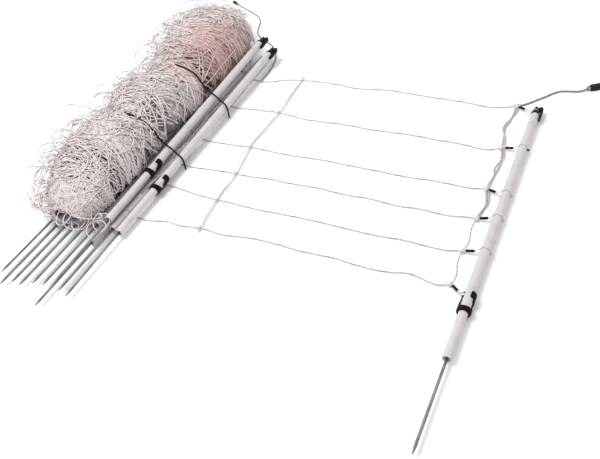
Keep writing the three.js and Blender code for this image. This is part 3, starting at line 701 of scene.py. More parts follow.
def heap_inside():
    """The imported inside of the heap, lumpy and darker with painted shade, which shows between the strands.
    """
    rng = np.random.default_rng(7)
    rows = np.arange(HEAP_NEAR_Y + 14, HEAP_FAR_Y - 14, 5.0)
    angles = np.linspace(0.03, math.pi - 0.02, 44)
    y, angle = np.meshgrid(rows, angles, indexing="ij")
    lumps = np.zeros_like(y)
    for _ in range(24):
        lumps += np.sin(y * rng.uniform(0.03, 0.16) + angle * rng.uniform(-9, 9) + rng.uniform(0, 6.3))
    share = CORE_SHARE + 0.012 * lumps
    ends = np.minimum(rows - rows[0], rows[-1] - rows)
    share = share * (1 - 0.5 * np.exp(-ends / 12))[:, None]
    points = heap_point(y, angle, share)
    count = len(angles)
    faces = []
    for r in range(len(rows) - 1):
        for i in range(count):
            j = (i + 1) % count
            faces.append((r * count + i, (r + 1) * count + i, (r + 1) * count + j, r * count + j))
    faces.append(tuple(range(count)))
    faces.append(tuple(reversed(range((len(rows) - 1) * count, len(rows) * count))))
    mesh = bpy.data.meshes.new("heap_inside")
    mesh.from_pydata(at(points.reshape(-1, 3)).tolist(), [], faces)
    shade(mesh)
    new_piece("heap_inside", mesh, PAINTED_SHADE_CORE, ["net_heap"])


STAY_WIDTH = 5.6
STAY_THICKNESS = 1.3
HEAP_STAY_SCALE = 0.48
HEAP_MIDDLE = np.array([-812.0, 0, 55.0])
STAY_OUTLINE = np.array([[-1, -1], [-1, 1], [1, 1], [1, -1]]) * [STAY_THICKNESS / 2, STAY_WIDTH / 2]


def flat_strip(name, paths, ups, scale):
    """Flat strips along the paths, each lying square to its own direction up."""
    mesh = swept_mesh(name, paths, STAY_OUTLINE * scale, up=ups)
    shade(mesh, False)
    return mesh


def heap_stays():
    """The folded net's stays that show on the heap: each end as its Y and its share of half a turn."""
    places = [
        (-640, 0.30, -500, 0.42), (-655, 0.48, -470, 0.30), (-600, 0.18, -455, 0.50),
        (-560, 0.62, -400, 0.40), (-520, 0.22, -395, 0.14), (-480, 0.36, -300, 0.56),
        (-450, 0.16, -330, 0.36), (-400, 0.52, -262, 0.34), (-345, 0.14, -200, 0.30),
        (-330, 0.44, -140, 0.24), (-235, 0.12, -95, 0.40), (-215, 0.16, -20, 0.30),
        (-205, 0.22, -60, 0.52), (-190, 0.10, 10, 0.13), (-160, 0.34, 20, 0.16), (-120, 0.50, 60, 0.30),
        (-60, 0.26, 90, 0.46), (-20, 0.58, 120, 0.40), (20, 0.20, 140, 0.36),
    ]
    rng = np.random.default_rng(11)
    t = np.linspace(0, 1, 40)
    paths = []
    for from_y, from_turn, to_y, to_turn in places:
        y = from_y + (to_y - from_y) * t + 3 * wander(rng, t, 2, 7)
        angle = math.pi * (from_turn + (to_turn - from_turn) * t) + 0.03 * wander(rng, t, 2, 7)
        share = 0.995 + 0.012 * wander(rng, t, 2, 7) - 0.12 * (np.abs(t - 0.5) * 2) ** 6
        paths.append(on_the_heap(y, angle, share))
    paths = np.stack(paths)
    outward = paths[:, 20] - HEAP_MIDDLE
    outward[:, 1] = 0
    mesh = flat_strip("heap_stays", [paths], outward, HEAP_STAY_SCALE)
    new_piece("heap_stays", mesh, STAY, ["net_heap"])


# Loose loops on the left of the heap, each a round trip of points that starts and ends inside it
LOOPS = [
    [[-815, -560, 70], [-870, -560, 74], [-909, -594, 66], [-914, -627, 58], [-890, -658, 56],
     [-848, -684, 58], [-800, -672, 60]],
    [[-840, -500, 80], [-893, -520, 72], [-923, -535, 62], [-944, -543, 58], [-917, -566, 58],
     [-870, -585, 64]],
    [[-830, -440, 88], [-881, -457, 78], [-912, -462, 66], [-926, -482, 58], [-925, -506, 56],
     [-900, -531, 60], [-850, -545, 66]],
    [[-850, -455, 74], [-901, -432, 66], [-937, -414, 60], [-976, -398, 58], [-980, -412, 58],
     [-953, -444, 58], [-920, -462, 62], [-860, -480, 70]],
    [[-840, -430, 80], [-892, -427, 70], [-920, -398, 60], [-926, -371, 56], [-922, -348, 58],
     [-895, -351, 64], [-850, -370, 72]],
    [[-845, -345, 84], [-915, -337, 68], [-938, -312, 60], [-941, -288, 58], [-935, -257, 60],
     [-901, -248, 66], [-850, -270, 76]],
    [[-840, -215, 82], [-891, -207, 68], [-912, -180, 60], [-918, -152, 58], [-908, -118, 62],
     [-869, -129, 74]],
    [[-850, -120, 88], [-900, -105, 76], [-926, -66, 62], [-932, -29, 58], [-913, 4, 64], [-869, -14, 78]],
    [[-860, 110, 90], [-930, 135, 70], [-966, 160, 60], [-988, 180, 58], [-983, 150, 58], [-960, 118, 64],
     [-934, 96, 74], [-880, 80, 84]],
    [[-850, -605, 50], [-900, -600, 44], [-922, -640, 40], [-900, -676, 40], [-850, -682, 46]],
    [[-860, -60, 60], [-930, -80, 48], [-952, -40, 44], [-948, 10, 46], [-900, 20, 56]],
    [[-870, 40, 80], [-938, 30, 66], [-962, 66, 56], [-955, 100, 56], [-910, 110, 66]],
    [[-860, -310, 70], [-922, -330, 54], [-936, -352, 46], [-930, -384, 44], [-870, -390, 56]],
]


def loose_loops():
    """Three strands for each loop, which differ a little."""
    rng = np.random.default_rng(23)
    paths = []
    for loop in LOOPS:
        loop = np.array(loop, float)
        middle = loop.mean(axis=0)
        for _ in range(3):
            size = 1 + rng.uniform(-0.14, 0.1)
            moved = middle + (loop - middle) * size + rng.normal(0, 3.5, loop.shape)
            moved[:, 2] = np.maximum(moved[:, 2] + rng.uniform(-10, 6), 6)
            paths.append(smoothed(moved, 5.0))
    cord_piece("heap_loops", paths, STRAND_R, 6, HEAP_STRAND, ["net_heap"])


# How far the curls may reach
CURL_LEFT_X = -988
CURL_FAR_Y = 236
CURL_LOW_Z = 1.8
CURL_HIGH_Z = 142


def curls(name, seed, places, count, size):
    """Short loose curls of strand round some places."""
    rng = np.random.default_rng(seed)
    t = np.linspace(0, 1, 40)
    paths = []
    for place in places:
        for _ in range(count):
            turns = rng.uniform(0.8, 1.35)
            angle = 2 * math.pi * turns * t + rng.uniform(0, 6.3)
            reach = size * rng.uniform(0.55, 1.2) * (1 + 0.25 * wander(rng, t, 3, 9))
            stretch = rng.uniform(0.45, 1.0)
            lean = rng.uniform(0, 3.1)
            x = reach * np.cos(angle)
            y = reach * stretch * np.sin(angle)
            drift = rng.normal(0, size * 0.6, 3)
            path = np.column_stack([
                place[0] + x * math.cos(lean) - y * math.sin(lean) + drift[0] * t,
                place[1] + x * math.sin(lean) + y * math.cos(lean) + drift[1] * t,
                place[2] + 0.35 * size * wander(rng, t, 3, 9) + 0.3 * y + drift[2] * t * 0.5,
            ])
            path[:, 0] = np.maximum(path[:, 0], CURL_LEFT_X)
            path[:, 1] = np.minimum(path[:, 1], CURL_FAR_Y)
            path[:, 2] = np.clip(path[:, 2], CURL_LOW_Z, CURL_HIGH_Z)
            paths.append(path)
    cord_piece(name, [np.stack(paths)], STRAND_R, 5, HEAP_STRAND, ["net_heap"])


# Where strands hang in curls: between the ends of the tubes, over the heap's near end, along its left side
# and over its far end
TUBE_END_CURLS = [[-705, -684, 36], [-752, -686, 34], [-815, -680, 32]]
LEDGE_CURLS = [[-852, -664, 50], [-822, -668, 56], [-790, -670, 58], [-762, -670, 54]]
LEFT_CURLS = [heap_point(y, math.pi * turn, 1.06) for y in range(-665, 215, 40) for turn in (0.66, 0.82)]
FAR_CURLS = [
    heap_point(208, math.pi * turn, share)
    for turn in (0.15, 0.35, 0.5, 0.65, 0.85)
    for share in (0.3, 0.65, 0.9)
]


def strands_between_posts():
    """Loose strands in the groove between the first two posts."""
    rng = np.random.default_rng(41)
    paths = []
    for low_y, high_y in [(-560, -330), (-420, -120), (-250, 60), (-530, -60)]:
        t = np.linspace(0, 1, 60)
        y = low_y + (high_y - low_y) * t
        x = OUTER_POST_X - 15 + 5 * wander(rng, t, 6, 20)
        z = 24 + 4 * wander(rng, t, 5, 16)
        paths.append(np.column_stack([x, y, z]))
    cord_piece("strands_between_posts", [np.stack(paths)], STRAND_R, 6, STRAND, ["net_heap"])


strands_between_posts()
heap_inside()
heap_strands()
heap_stays()
loose_loops()
curls("far_curls", 43, FAR_CURLS, 3, 24)
curls("left_curls", 31, LEFT_CURLS + LEDGE_CURLS, 3, 32)
curls("tube_end_curls", 37, TUBE_END_CURLS, 2, 26)


# Posts. A post's own frame has Y = 0 at the top of its cap and the rest below it, and Z = 0 on its axis.
POST_LENGTH = 931.3
TUBE_TOP = -33.3
TUBE_END = -611.0
BARREL_TOP = -611.3
COLLAR_TOP = -640.0
COLLAR_END = -653.3
LOWER_END = -753.3
POINT = 14.0
BARREL_R = 9.0
RIB = 0.5
COLLAR_R = 11.7
COLLAR_BORE_R = 8.5
HOOK_TOP = -607.0
HOOK_LOW = -620.0
HOOK_BORE_R = 9.9
HOOK_R = 12.2
ARM_TOP = -612.0
RIDGE_WIDTH = 1.5
THREAD_PITCH = 9.5


def local_mesh(name, vertices, faces):
    """A mesh in a piece's own frame."""
    mesh = bpy.data.meshes.new(name)
    mesh.from_pydata((np.asarray(vertices, float) * MM).tolist(), [], faces)
    shade(mesh)
    mesh.update()
    return mesh


def turned_mesh(name, profile, sides=40, relief=None):
    """The profile of [Y, radius] points turned round the Y axis. relief(y, angle) is added to the radius."""
    angle = np.arange(sides) / sides * 2 * math.pi
    vertices, faces = [], []
    rings = []
    for y, radius in profile:
        if radius == 0:
            rings.append([len(vertices)] * sides)
            vertices.append((0, y, 0))
            continue
        grown = radius + (relief(y, angle) if relief else 0 * angle)
        rings.append(list(range(len(vertices), len(vertices) + sides)))
        vertices.extend(zip(grown * np.cos(angle), np.full(sides, y), grown * np.sin(angle)))
    for low, high in zip(rings, rings[1:]):
        for i in range(sides):
            j = (i + 1) % sides
            corners = list(dict.fromkeys([low[i], low[j], high[j], high[i]]))
            faces.append(corners[::-1])
    return local_mesh(name, vertices, faces)


def rounded_end(y, radius, edge, outwards):
    """The points of a rounded edge at a tube's end: outwards is 1 for its top end and -1 for its bottom."""
    steps = np.linspace(0, math.pi / 2, 5)
    points = [[y - outwards * edge * (1 - math.sin(a)), radius - edge * (1 - math.cos(a))] for a in steps]
    return points if outwards > 0 else points[::-1]


def upper_tube_mesh(lift):
    """The upper tube, open a little at its lower end."""
    end = TUBE_END + lift
    profile = [[end + 6, 0], [end + 6, 7.4], [end, 7.6]]
    profile += rounded_end(end, TUBE_R, 0.5, -1)
    profile += [[y, TUBE_R] for y in np.linspace(end + 6, TUBE_TOP - 8, 12)]
    profile += rounded_end(TUBE_TOP, TUBE_R, 2.2, 1)
    profile += [[TUBE_TOP, 0]]
    return turned_mesh("upper_tube", profile)


def thread(y, angle):
    """Slanted ridges round the barrel between the upper tube and the collar."""
    inside = np.clip(min(BARREL_TOP - 1 - y, y - COLLAR_TOP) / 1.5, 0, 1)
    wave = np.sin(3 * angle + (y - BARREL_TOP) / THREAD_PITCH * 2 * math.pi)
    return inside * RIB * np.clip(wave * 1.6, 0, 1)


def lower_tube_mesh(lift):
    """The lower tube with its threaded barrel, open a little at its lower end."""
    profile = [[LOWER_END + 5, 0], [LOWER_END + 5, 6.4], [LOWER_END, 6.6]]
    profile += rounded_end(LOWER_END, LOWER_TUBE_R, 0.5, -1)
    profile += [[y, LOWER_TUBE_R] for y in np.linspace(LOWER_END + 5, COLLAR_END + lift - 0.5, 6)]
    profile += [[COLLAR_END + lift + 1, BARREL_R]]
    profile += [[y + lift, BARREL_R] for y in np.linspace(COLLAR_TOP, BARREL_TOP, 44)]
    profile += [[BARREL_TOP + lift, 0]]
    return turned_mesh("lower_tube", profile, sides=56, relief=lambda y, angle: thread(y - lift, angle))


def spike_mesh(lift):
    """The spike, which is the same wherever the joint is."""
    tip = -POST_LENGTH
    profile = [[tip, 0], [tip + 0.4, 0.5], [tip + POINT * 0.5, 1.7], [tip + POINT, SPIKE_R - 0.1]]
    profile += [[y, SPIKE_R] for y in np.linspace(tip + POINT + 1.5, LOWER_END + 4, 8)]
    profile += [[LOWER_END + 4.5, 0]]
    return turned_mesh("spike", profile, sides=20)


def sheet_mesh(name, start, end, top, bottom, inside, outside, steps=40, rows=10):
    """A bent plate round the Y axis from one angle to another, in degrees, with rounded edges.

    top, bottom and outside give its two edges and its outer radius at an angle."""
    closed = end - start >= 360
    angles = np.linspace(start, end, steps + 1)[: steps if closed else steps + 1]
    section = [(k / rows, 1.0) for k in range(rows + 1)]
    section += [(k / rows, 0.0) for k in range(rows, -1, -1)]
    vertices = []
    count = len(section)
    for degrees in angles:
        a = math.radians(degrees)
        high, low, outer = top(degrees), bottom(degrees), outside(degrees)
        for along, side in section:
            y = low + (high - low) * along
            edge = min(along, 1 - along) * abs(high - low)
            rounding = 0.8 * max(0, 1 - edge / 1.2) ** 2
            radius = outer - rounding if side else inside + 0.3 * rounding
            vertices.append((radius * math.cos(a), y, radius * math.sin(a)))
    faces = []
    last = len(angles) if closed else len(angles) - 1
    for r in range(last):
        n = (r + 1) % len(angles)
        for i in range(count):
            j = (i + 1) % count
            faces.append((r * count + i, r * count + j, n * count + j, n * count + i))
    if not closed:
        faces.append(tuple(reversed(range(count))))
        faces.append(tuple(range((len(angles) - 1) * count, len(angles) * count)))
    return local_mesh(name, vertices, faces)


def taken(made, name):
    """The mesh of a BMesh."""
    mesh = bpy.data.meshes.new(name)
    made.to_mesh(mesh)
    made.free()
    return mesh


def finished(made, name):
    """The mesh of a BMesh, with its faces turned outwards."""
    bmesh.ops.recalc_face_normals(made, faces=made.faces)
    return taken(made, name)


def joined(name, meshes):
    """One mesh of several."""
    made = bmesh.new()
    for mesh in meshes:
        made.from_mesh(mesh)
    return finished(made, name)


def ease(value, low, high):
    """A smooth step from 0 at low to 1 at high."""
    share = min(1.0, max(0.0, (value - low) / (high - low)))
    return share * share * (3 - 2 * share)


def clip_mesh(lift):
    """The bottom clip: a collar with a wing, an arm with a hook and its tail, and a thin prong."""
    def collar_top(a):
        wing = ease(-abs((a % 360) - 183), -20, -9)
        return COLLAR_TOP - 2.5 * max(0.0, math.sin(math.radians(a))) + 9.5 * wing

    def collar_outside(a):
        return COLLAR_R + 1.1 * abs(math.cos(math.radians(a))) ** 6

    def ridge_outside(a):
        return collar_outside(a) + 0.5

    collar = sheet_mesh(
        "collar", 0, 360, collar_top, lambda a: COLLAR_END, COLLAR_BORE_R, collar_outside, 60, 12
    )

    def hook_bottom(a):
        return HOOK_LOW - 11 * ease(-a, -34, -4) + 3 * ease(-a, 10, 24)

    def hook_outside(a):
        return HOOK_R + 1.1 * ease(a, -20, 30) - 1.2 * ease(a, 55, 74)

    def hook_top(a):
        return HOOK_TOP - 3.5 * ease(-a, 0, 26)

    hook = sheet_mesh("hook", -26, 74, hook_top, hook_bottom, HOOK_BORE_R, hook_outside, 28, 10)
    arm = sheet_mesh(
        "arm", -56, -24, lambda a: ARM_TOP, lambda a: COLLAR_TOP - 3, HOOK_BORE_R, lambda a: HOOK_R, 10, 8
    )
    prong = sheet_mesh("prong", 174, 190, lambda a: -612.5, lambda a: -634, 9.5, lambda a: 12.0, 6, 8)

    def ridge(y):
        return sheet_mesh("ridge", 0, 360, lambda a: y, lambda a: y - RIDGE_WIDTH, 10, ridge_outside, 60, 4)

    ridges = [ridge(COLLAR_TOP - 3.4), ridge(COLLAR_TOP - 8.6)]
    dot = turned_mesh("dot", [[-609.5, 0], [-609, 1.4], [-607, 1.9], [-605, 1.3], [-604.6, 0]], sides=12)
    dot.transform(Matrix.Translation((-10.4 * MM, 0, 1.5 * MM)))
    clip = joined("clip", [collar, hook, arm, prong, dot] + ridges)
    clip.transform(Matrix.Translation((0, lift * MM, 0)))
    return clip


CAP_OUTLINE = [
    (-8, -33), (-8.3, -29), (-7.6, -27), (-6, -25), (-6, -20), (-6.2, -12), (-5.2, -6), (-3.9, -1.5),
    (-2.6, -0.2), (-1.2, -0.4), (0.2, -2.2), (1.2, -4.6), (3, -5.2), (5, -4), (6.8, -1.6), (9, -0.2),
    (11.6, -0.9), (13.6, -4.5), (14.5, -9), (14.5, -18), (14.5, -34), (14.3, -44), (13.4, -48.5),
    (11.8, -52.6), (10.8, -50), (10.8, -34), (10.8, -24), (10.2, -20), (8.2, -14), (6.4, -12.4),
    (4.4, -13), (3.5, -15), (3.5, -22), (4.2, -26), (6.4, -27.6), (8, -29), (8, -33),
]
CAP_HALF = 4.6


def cap_mesh(lift):
    """The cap's flat moulding, with a bead along its edges, and the round foot that sits in the tube."""
    made = bmesh.new()
    rings = []
    for z, inset in ((-CAP_HALF, 0.9), (-CAP_HALF + 0.9, 0.0), (CAP_HALF - 0.9, 0.0), (CAP_HALF, 0.9)):
        outline = np.array(CAP_OUTLINE, float)
        ahead = np.roll(outline, -1, axis=0) - np.roll(outline, 1, axis=0)
        normal = np.column_stack([ahead[:, 1], -ahead[:, 0]])
        normal /= np.linalg.norm(normal, axis=1, keepdims=True)
        moved = outline + inset * normal
        rings.append([made.verts.new((x * MM, y * MM, z * MM)) for x, y in moved])
    count = len(CAP_OUTLINE)
    for low, high in zip(rings, rings[1:]):
        for i in range(count):
            j = (i + 1) % count
            made.faces.new((low[i], low[j], high[j], high[i]))
    made.faces.new(rings[0])
    made.faces.new(rings[-1])
    plate = finished(made, "cap_plate")
    foot = [
        [-33.2, 0], [-33.2, 9.4], [-32.4, 9.9], [-28.5, 9.9], [-27.5, 9.2], [-20, 7.6], [-13, 6.4],
        [-9.5, 5.2], [-8.6, 3.6], [-8.4, 0],
    ]
    return joined("cap", [plate, turned_mesh("cap_foot", foot)])


POST_PIECES = {
    "upper_tube": (upper_tube_mesh, POST, "post_plastic"),
    "lower_tube": (lower_tube_mesh, POST, "post_plastic"),
    "spike": (spike_mesh, STEEL, "spike_steel"),
    "cap": (cap_mesh, BLACK, "black_plastic"),
    "clip": (clip_mesh, BLACK, "black_plastic"),
}
FULL_POST = ["upper_tube", "lower_tube", "spike", "cap", "clip"]
BURIED_POST = ["upper_tube", "lower_tube", "spike"]


class Post:
    """Where a post lies: X of its cap, Y of its tip, the height of its axis at each end, and its turn.

    lift is how much higher than on the end post its joint and its clip sit."""

    def __init__(self, name, x, tip_y, tip_z, cap_z, pieces, turn=0.0, lift=0):
        self.name = name
        self.pieces = pieces
        self.lift = lift
        rise = cap_z - tip_z
        place = at([x, tip_y + math.sqrt(POST_LENGTH ** 2 - rise ** 2) * math.cos(turn), cap_z])
        self.matrix = (Matrix.Translation(Vector(place)) @ Matrix.Rotation(turn, 4, "Z")
                       @ Matrix.Rotation(math.asin(rise / POST_LENGTH), 4, "X"))

    def axis(self, y):
        """The post's axis at its own Y, in the net's frame."""
        return (np.array(self.matrix @ Vector((0, y * MM, 0))) - NET_ORIGIN) / MM


END_POST_TURN = -0.0197
END_POST = Post("end_post", 47.6, -938.1, LOW_ROW_Z, LOW_ROW_Z, FULL_POST, END_POST_TURN)
POSTS = [
    END_POST,
    Post("post_1", OUTER_POST_X, -855, LOW_ROW_Z, 32.0, FULL_POST, lift=36),
    Post("post_2", -698, -841, 25.95, 52.95, FULL_POST, lift=50),
    Post("post_3", FIRST_OF_ROW_X, -847, LOW_ROW_Z, LOW_ROW_Z, BURIED_POST),
    Post("post_4", -708.8, -894, LOW_ROW_Z, LOW_ROW_Z, BURIED_POST),
    Post("post_5", -730, -846, LOW_ROW_Z, LOW_ROW_Z, BURIED_POST),
    Post("post_6", -752.5, -849, LOW_ROW_Z, LOW_ROW_Z, BURIED_POST + ["clip"]),
    Post("post_7", -775, -861, LOW_ROW_Z, LOW_ROW_Z, BURIED_POST),
    Post("post_8", -795, -859, LOW_ROW_Z, LOW_ROW_Z, BURIED_POST),
    Post("post_9", -815, -873, LOW_ROW_Z, LOW_ROW_Z, BURIED_POST),
    Post("post_10", -836, -844, LOW_ROW_Z, LOW_ROW_Z, BURIED_POST),
]


def make_posts():
    """Every post's pieces. Posts with the same lift share their meshes."""
    made = {}
    for post in POSTS:
        for piece in post.pieces:
            shape, material, slot = POST_PIECES[piece]
            key = (piece, post.lift)
            if key not in made:
                made[key] = shape(post.lift)
            mesh = made[key]
            node = f"{post.name}_{piece}"
            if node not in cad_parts:
                node = f"{post.name}_tube"
            new_piece(f"{post.name}_{piece}_detail", mesh, material, [node], post.matrix)


make_posts()


# The edge cord, its knots, sleeves and ties to the end post
EDGE_R = 2.4
THIN_EDGE_R = 1.1
EDGE_ROUTE = [
    [0, 8, 4], [0, 0, 4.5], [-1, -25, 2.4], [-3, -60, 2.4], [-8, -90, 2.4], [-4, -125, 2.4], [1, -169, 4.5],
    [6, -200, 2.4], [9, -224, 2.4], [5, -262, 2.4], [-1, -316, 4.5], [6, -347, 2.4], [8, -372, 2.4],
    [0, -410, 4.5],
]
SECOND_PLY_ROUTE = [
    [2, -3, 6], [3.5, -25, 3.6], [-4, -52, 2.0], [-12, -84, 2.0], [-10, -104, 4.6], [-1, -130, 5.2],
    [3, -166, 6.4], [9, -186, 3.0], [11, -206, 5.0], [4, -224, 2.0], [0, -244, 2.0], [4, -264, 4.8],
    [3, -290, 4.2], [1, -312, 6.6], [9, -334, 2.0], [11, -360, 3.6], [5, -384, 5.0], [2, -404, 6.4],
]
THIN_EDGE_ROUTE = [
    [0, -410, 4.5], [-3, -437, 1.6], [1, -475, 1.6], [-3, -505, 4.5], [-6, -532, 1.6], [0, -566, 1.6],
    [-2, -594, 4.5], [-3, -600, 4.4],
]


def lobed(radius, lobes, depth, sides):
    """A round outline with dents between its lobes, for the plies of a cord."""
    angle = np.arange(sides) / sides * 2 * math.pi
    reach = radius * (1 - depth * (0.5 - 0.5 * np.cos(lobes * angle)))
    return np.column_stack([reach * np.cos(angle), reach * np.sin(angle)])


def twisted_cord(name, route, radius, material, pitch, replaces):
    """A free cord of three plies, which are modelled."""
    path = smoothed(route, 2.5)
    along = np.concatenate([[0], np.cumsum(np.linalg.norm(np.diff(path, axis=0), axis=1))])
    turns = along / pitch * 2 * math.pi
    mesh = swept_mesh(name, [path], lobed(radius, 3, 0.3, 12), turns=turns)
    free_cord(name, mesh, material, replaces)


twisted_cord("edge_cord_thick", EDGE_ROUTE, EDGE_R, EDGE, 16, ["edge_cord"])
twisted_cord("edge_cord_second", SECOND_PLY_ROUTE, 1.8, EDGE, 12, ["edge_cord"])
twisted_cord("edge_cord_thin", THIN_EDGE_ROUTE, THIN_EDGE_R, STRAND, 9, ["edge_cord"])

STRAND_NODES = [f"strand_{number}" for number in range(1, 7)]
KNOTS = [(route[0], size) for route, size in zip(STRAND_ROUTES, (9.6, 8.6, 8.2, 7.8, 6.4, 6.4))]


def knot_path(centre, size, turn):
    """A knot's tight windings: a trefoil, pressed flat."""
    t = np.linspace(0, 2 * math.pi, 60)
    x = np.sin(t) + 2 * np.sin(2 * t)
    y = np.cos(t) - 2 * np.cos(2 * t)
    z = -np.sin(3 * t)
    cosine, sine = math.cos(turn), math.sin(turn)
    across = np.column_stack([x * cosine - y * sine, x * sine + y * cosine, z])
    return np.asarray(centre) + across * [size / 3.4, size / 3.4, size / 3.0]


def make_knots():
    """The knots on the edge cord, the upper four in thicker cord than the lower two."""
    for name, knots, radius in (("knots_thick", KNOTS[:4], 2.3), ("knots_thin", KNOTS[4:], 1.6)):
        paths = []
        for (x, y, _), size in knots:
            windings = size - radius
            paths.append(knot_path([x, y, radius + windings / 3 + 0.3], windings, 0.04 * y))
        cord_piece(name, [np.stack(paths)], radius, 10, KNOT, STRAND_NODES)


make_knots()

TIE_Y = [-26, -173, -333, -409, -505, -618.7]


def axis_at(y):
    """The end post's axis where it passes Y in the net's frame."""
    share = (y - END_POST.axis(0)[1]) / (END_POST.axis(-POST_LENGTH)[1] - END_POST.axis(0)[1])
    return END_POST.axis(-POST_LENGTH * share)


def tie_ring(level):
    """The centre and the radius of the loop that ties a strand to the end post."""
    centre = axis_at(TIE_Y[level])
    if level == 0:
        return centre + [-1.2, 0, 0], 7.4
    if level == 5:
        return centre + [-10.4, 0, 0], 3.4
    return centre, TUBE_R + 1.1


SLEEVE_LENGTH = 16.0
TIE_CORD_R = 0.85
LUMP_CORD_R = 0.9
BEAD_CORD_R = 1.0
RING_POINTS = 48


def sleeve_ends(level):
    """Where a strand's sleeve starts beside the knot, and where it ends towards the post."""
    knot, size = KNOTS[level]
    centre, radius = tie_ring(level)
    eye = centre - [radius, 0, 0]
    away = np.linalg.norm(eye - knot)
    way = (eye - knot) / away
    start = knot + way * (size - 0.5)
    return start, start + way * min(SLEEVE_LENGTH, np.linalg.norm(eye - start) - 4.5)


def tie_path(level):
    """The way of a tie out of the sleeve, round the end post and back into the sleeve."""
    start, end = sleeve_ends(level)
    centre, radius = tie_ring(level)
    spread = 5.0 if 0 < level < 5 else 2.4
    angle = np.linspace(math.pi, -math.pi, RING_POINTS)
    slide = np.linspace(spread, -spread, RING_POINTS)
    ring = centre + np.column_stack([radius * np.cos(angle), slide, radius * np.sin(angle)])
    inside = start + (end - start) / np.linalg.norm(end - start) * 3
    out = end + (ring[0] - end) * 0.5 + [0, 0.8, 0.6]
    back = end + (ring[-1] - end) * 0.5 - [0, 0.8, -0.6]
    return smoothed(np.vstack([inside, end, out, ring, back, end, inside]), 2.5)


def make_sleeve(level):
    """A black tube round the tie's two legs, with rounded mouths."""
    start, end = sleeve_ends(level)
    length = np.linalg.norm(end - start)
    mouth = [[0.8, 0], [0.8, 1.6], [0, 1.9], [0.1, 2.5], [0.7, 2.8]]
    profile = mouth + [[length * 0.5, 2.65]] + [[length - y, radius] for y, radius in mouth[::-1]]
    node = f"sleeve_{level + 1}"
    mesh = turned_mesh(node + "_detail", profile, sides=20)
    turn = Vector((0, 1, 0)).rotation_difference(Vector(end - start)).to_matrix().to_4x4()
    matrix = Matrix.Translation(Vector(at(start))) @ turn
    new_piece(node + "_detail", mesh, BLACK, [node], matrix)


def make_ties():
    """Each strand's tie and sleeve, and the lumps of knot on the outside of the four middle ones."""
    ties = [tie_path(level) for level in range(len(KNOTS))]
    cord_piece("post_ties", ties, TIE_CORD_R, 8, KNOT, STRAND_NODES)
    lumps = []
    for level in range(1, 5):
        centre, radius = tie_ring(level)
        lumps.append(knot_path(centre + [radius + 0.9, -2.0, 1.0], 2.6, level))
    cord_piece("post_tie_knots", [np.stack(lumps[1:])], LUMP_CORD_R, 8, EDGE, STRAND_NODES)
    cord_piece("post_tie_bead", lumps[:1], BEAD_CORD_R, 8, BLACK, ["strand_2"])
    for level in range(len(KNOTS)):
        make_sleeve(level)


make_ties()


# The two free tails of cord, each with its connector
TAIL_RIGHT_ROUTE = [
    [3.4, 3.6, 3.6], [13, 12, 2.2], [26, 25, 2.1], [40, 42, 2.1], [55, 59, 2.1], [68, 76, 2.1],
    [78, 87, 2.1], [90, 94, 2.1], [108, 98, 2.1], [126, 102, 2.4], [137, 109, 3.6], [143, 114, 5],
]
TAIL_LEFT_ROUTE = [
    [-652, -42.3, 2.3], [-652, -20, 2.1], [-652, 6, 2.1], [-655, 35, 2.1], [-661, 62, 2.1], [-671, 90, 2.1],
    [-686, 116, 2.1], [-706, 140, 2.1], [-731, 158, 2.1], [-758, 175, 2.1], [-780, 198, 2.1],
    [-794, 228, 2.1], [-804, 262, 2.1], [-824, 294, 2.1], [-854, 317, 2.1], [-887, 337, 2.1],
    [-916, 353, 2.4], [-930, 361, 3.4],
]


def rounded_block(name, outline, low, high, edge):
    """A block of the outline from one height to another, with its long edges rounded."""
    made = bmesh.new()
    for z in (low, high):
        made.verts.ensure_lookup_table()
        made.faces.new([made.verts.new((x * MM, y * MM, z * MM)) for x, y in outline])
    count = len(outline)
    made.verts.ensure_lookup_table()
    for i in range(count):
        j = (i + 1) % count
        made.faces.new((made.verts[i], made.verts[j], made.verts[count + j], made.verts[count + i]))
    bmesh.ops.recalc_face_normals(made, faces=made.faces)
    bmesh.ops.bevel(made, geom=list(made.edges), offset=edge * MM, segments=2, profile=0.6, affect="EDGES")
    mesh = taken(made, name)
    shade(mesh)
    return mesh


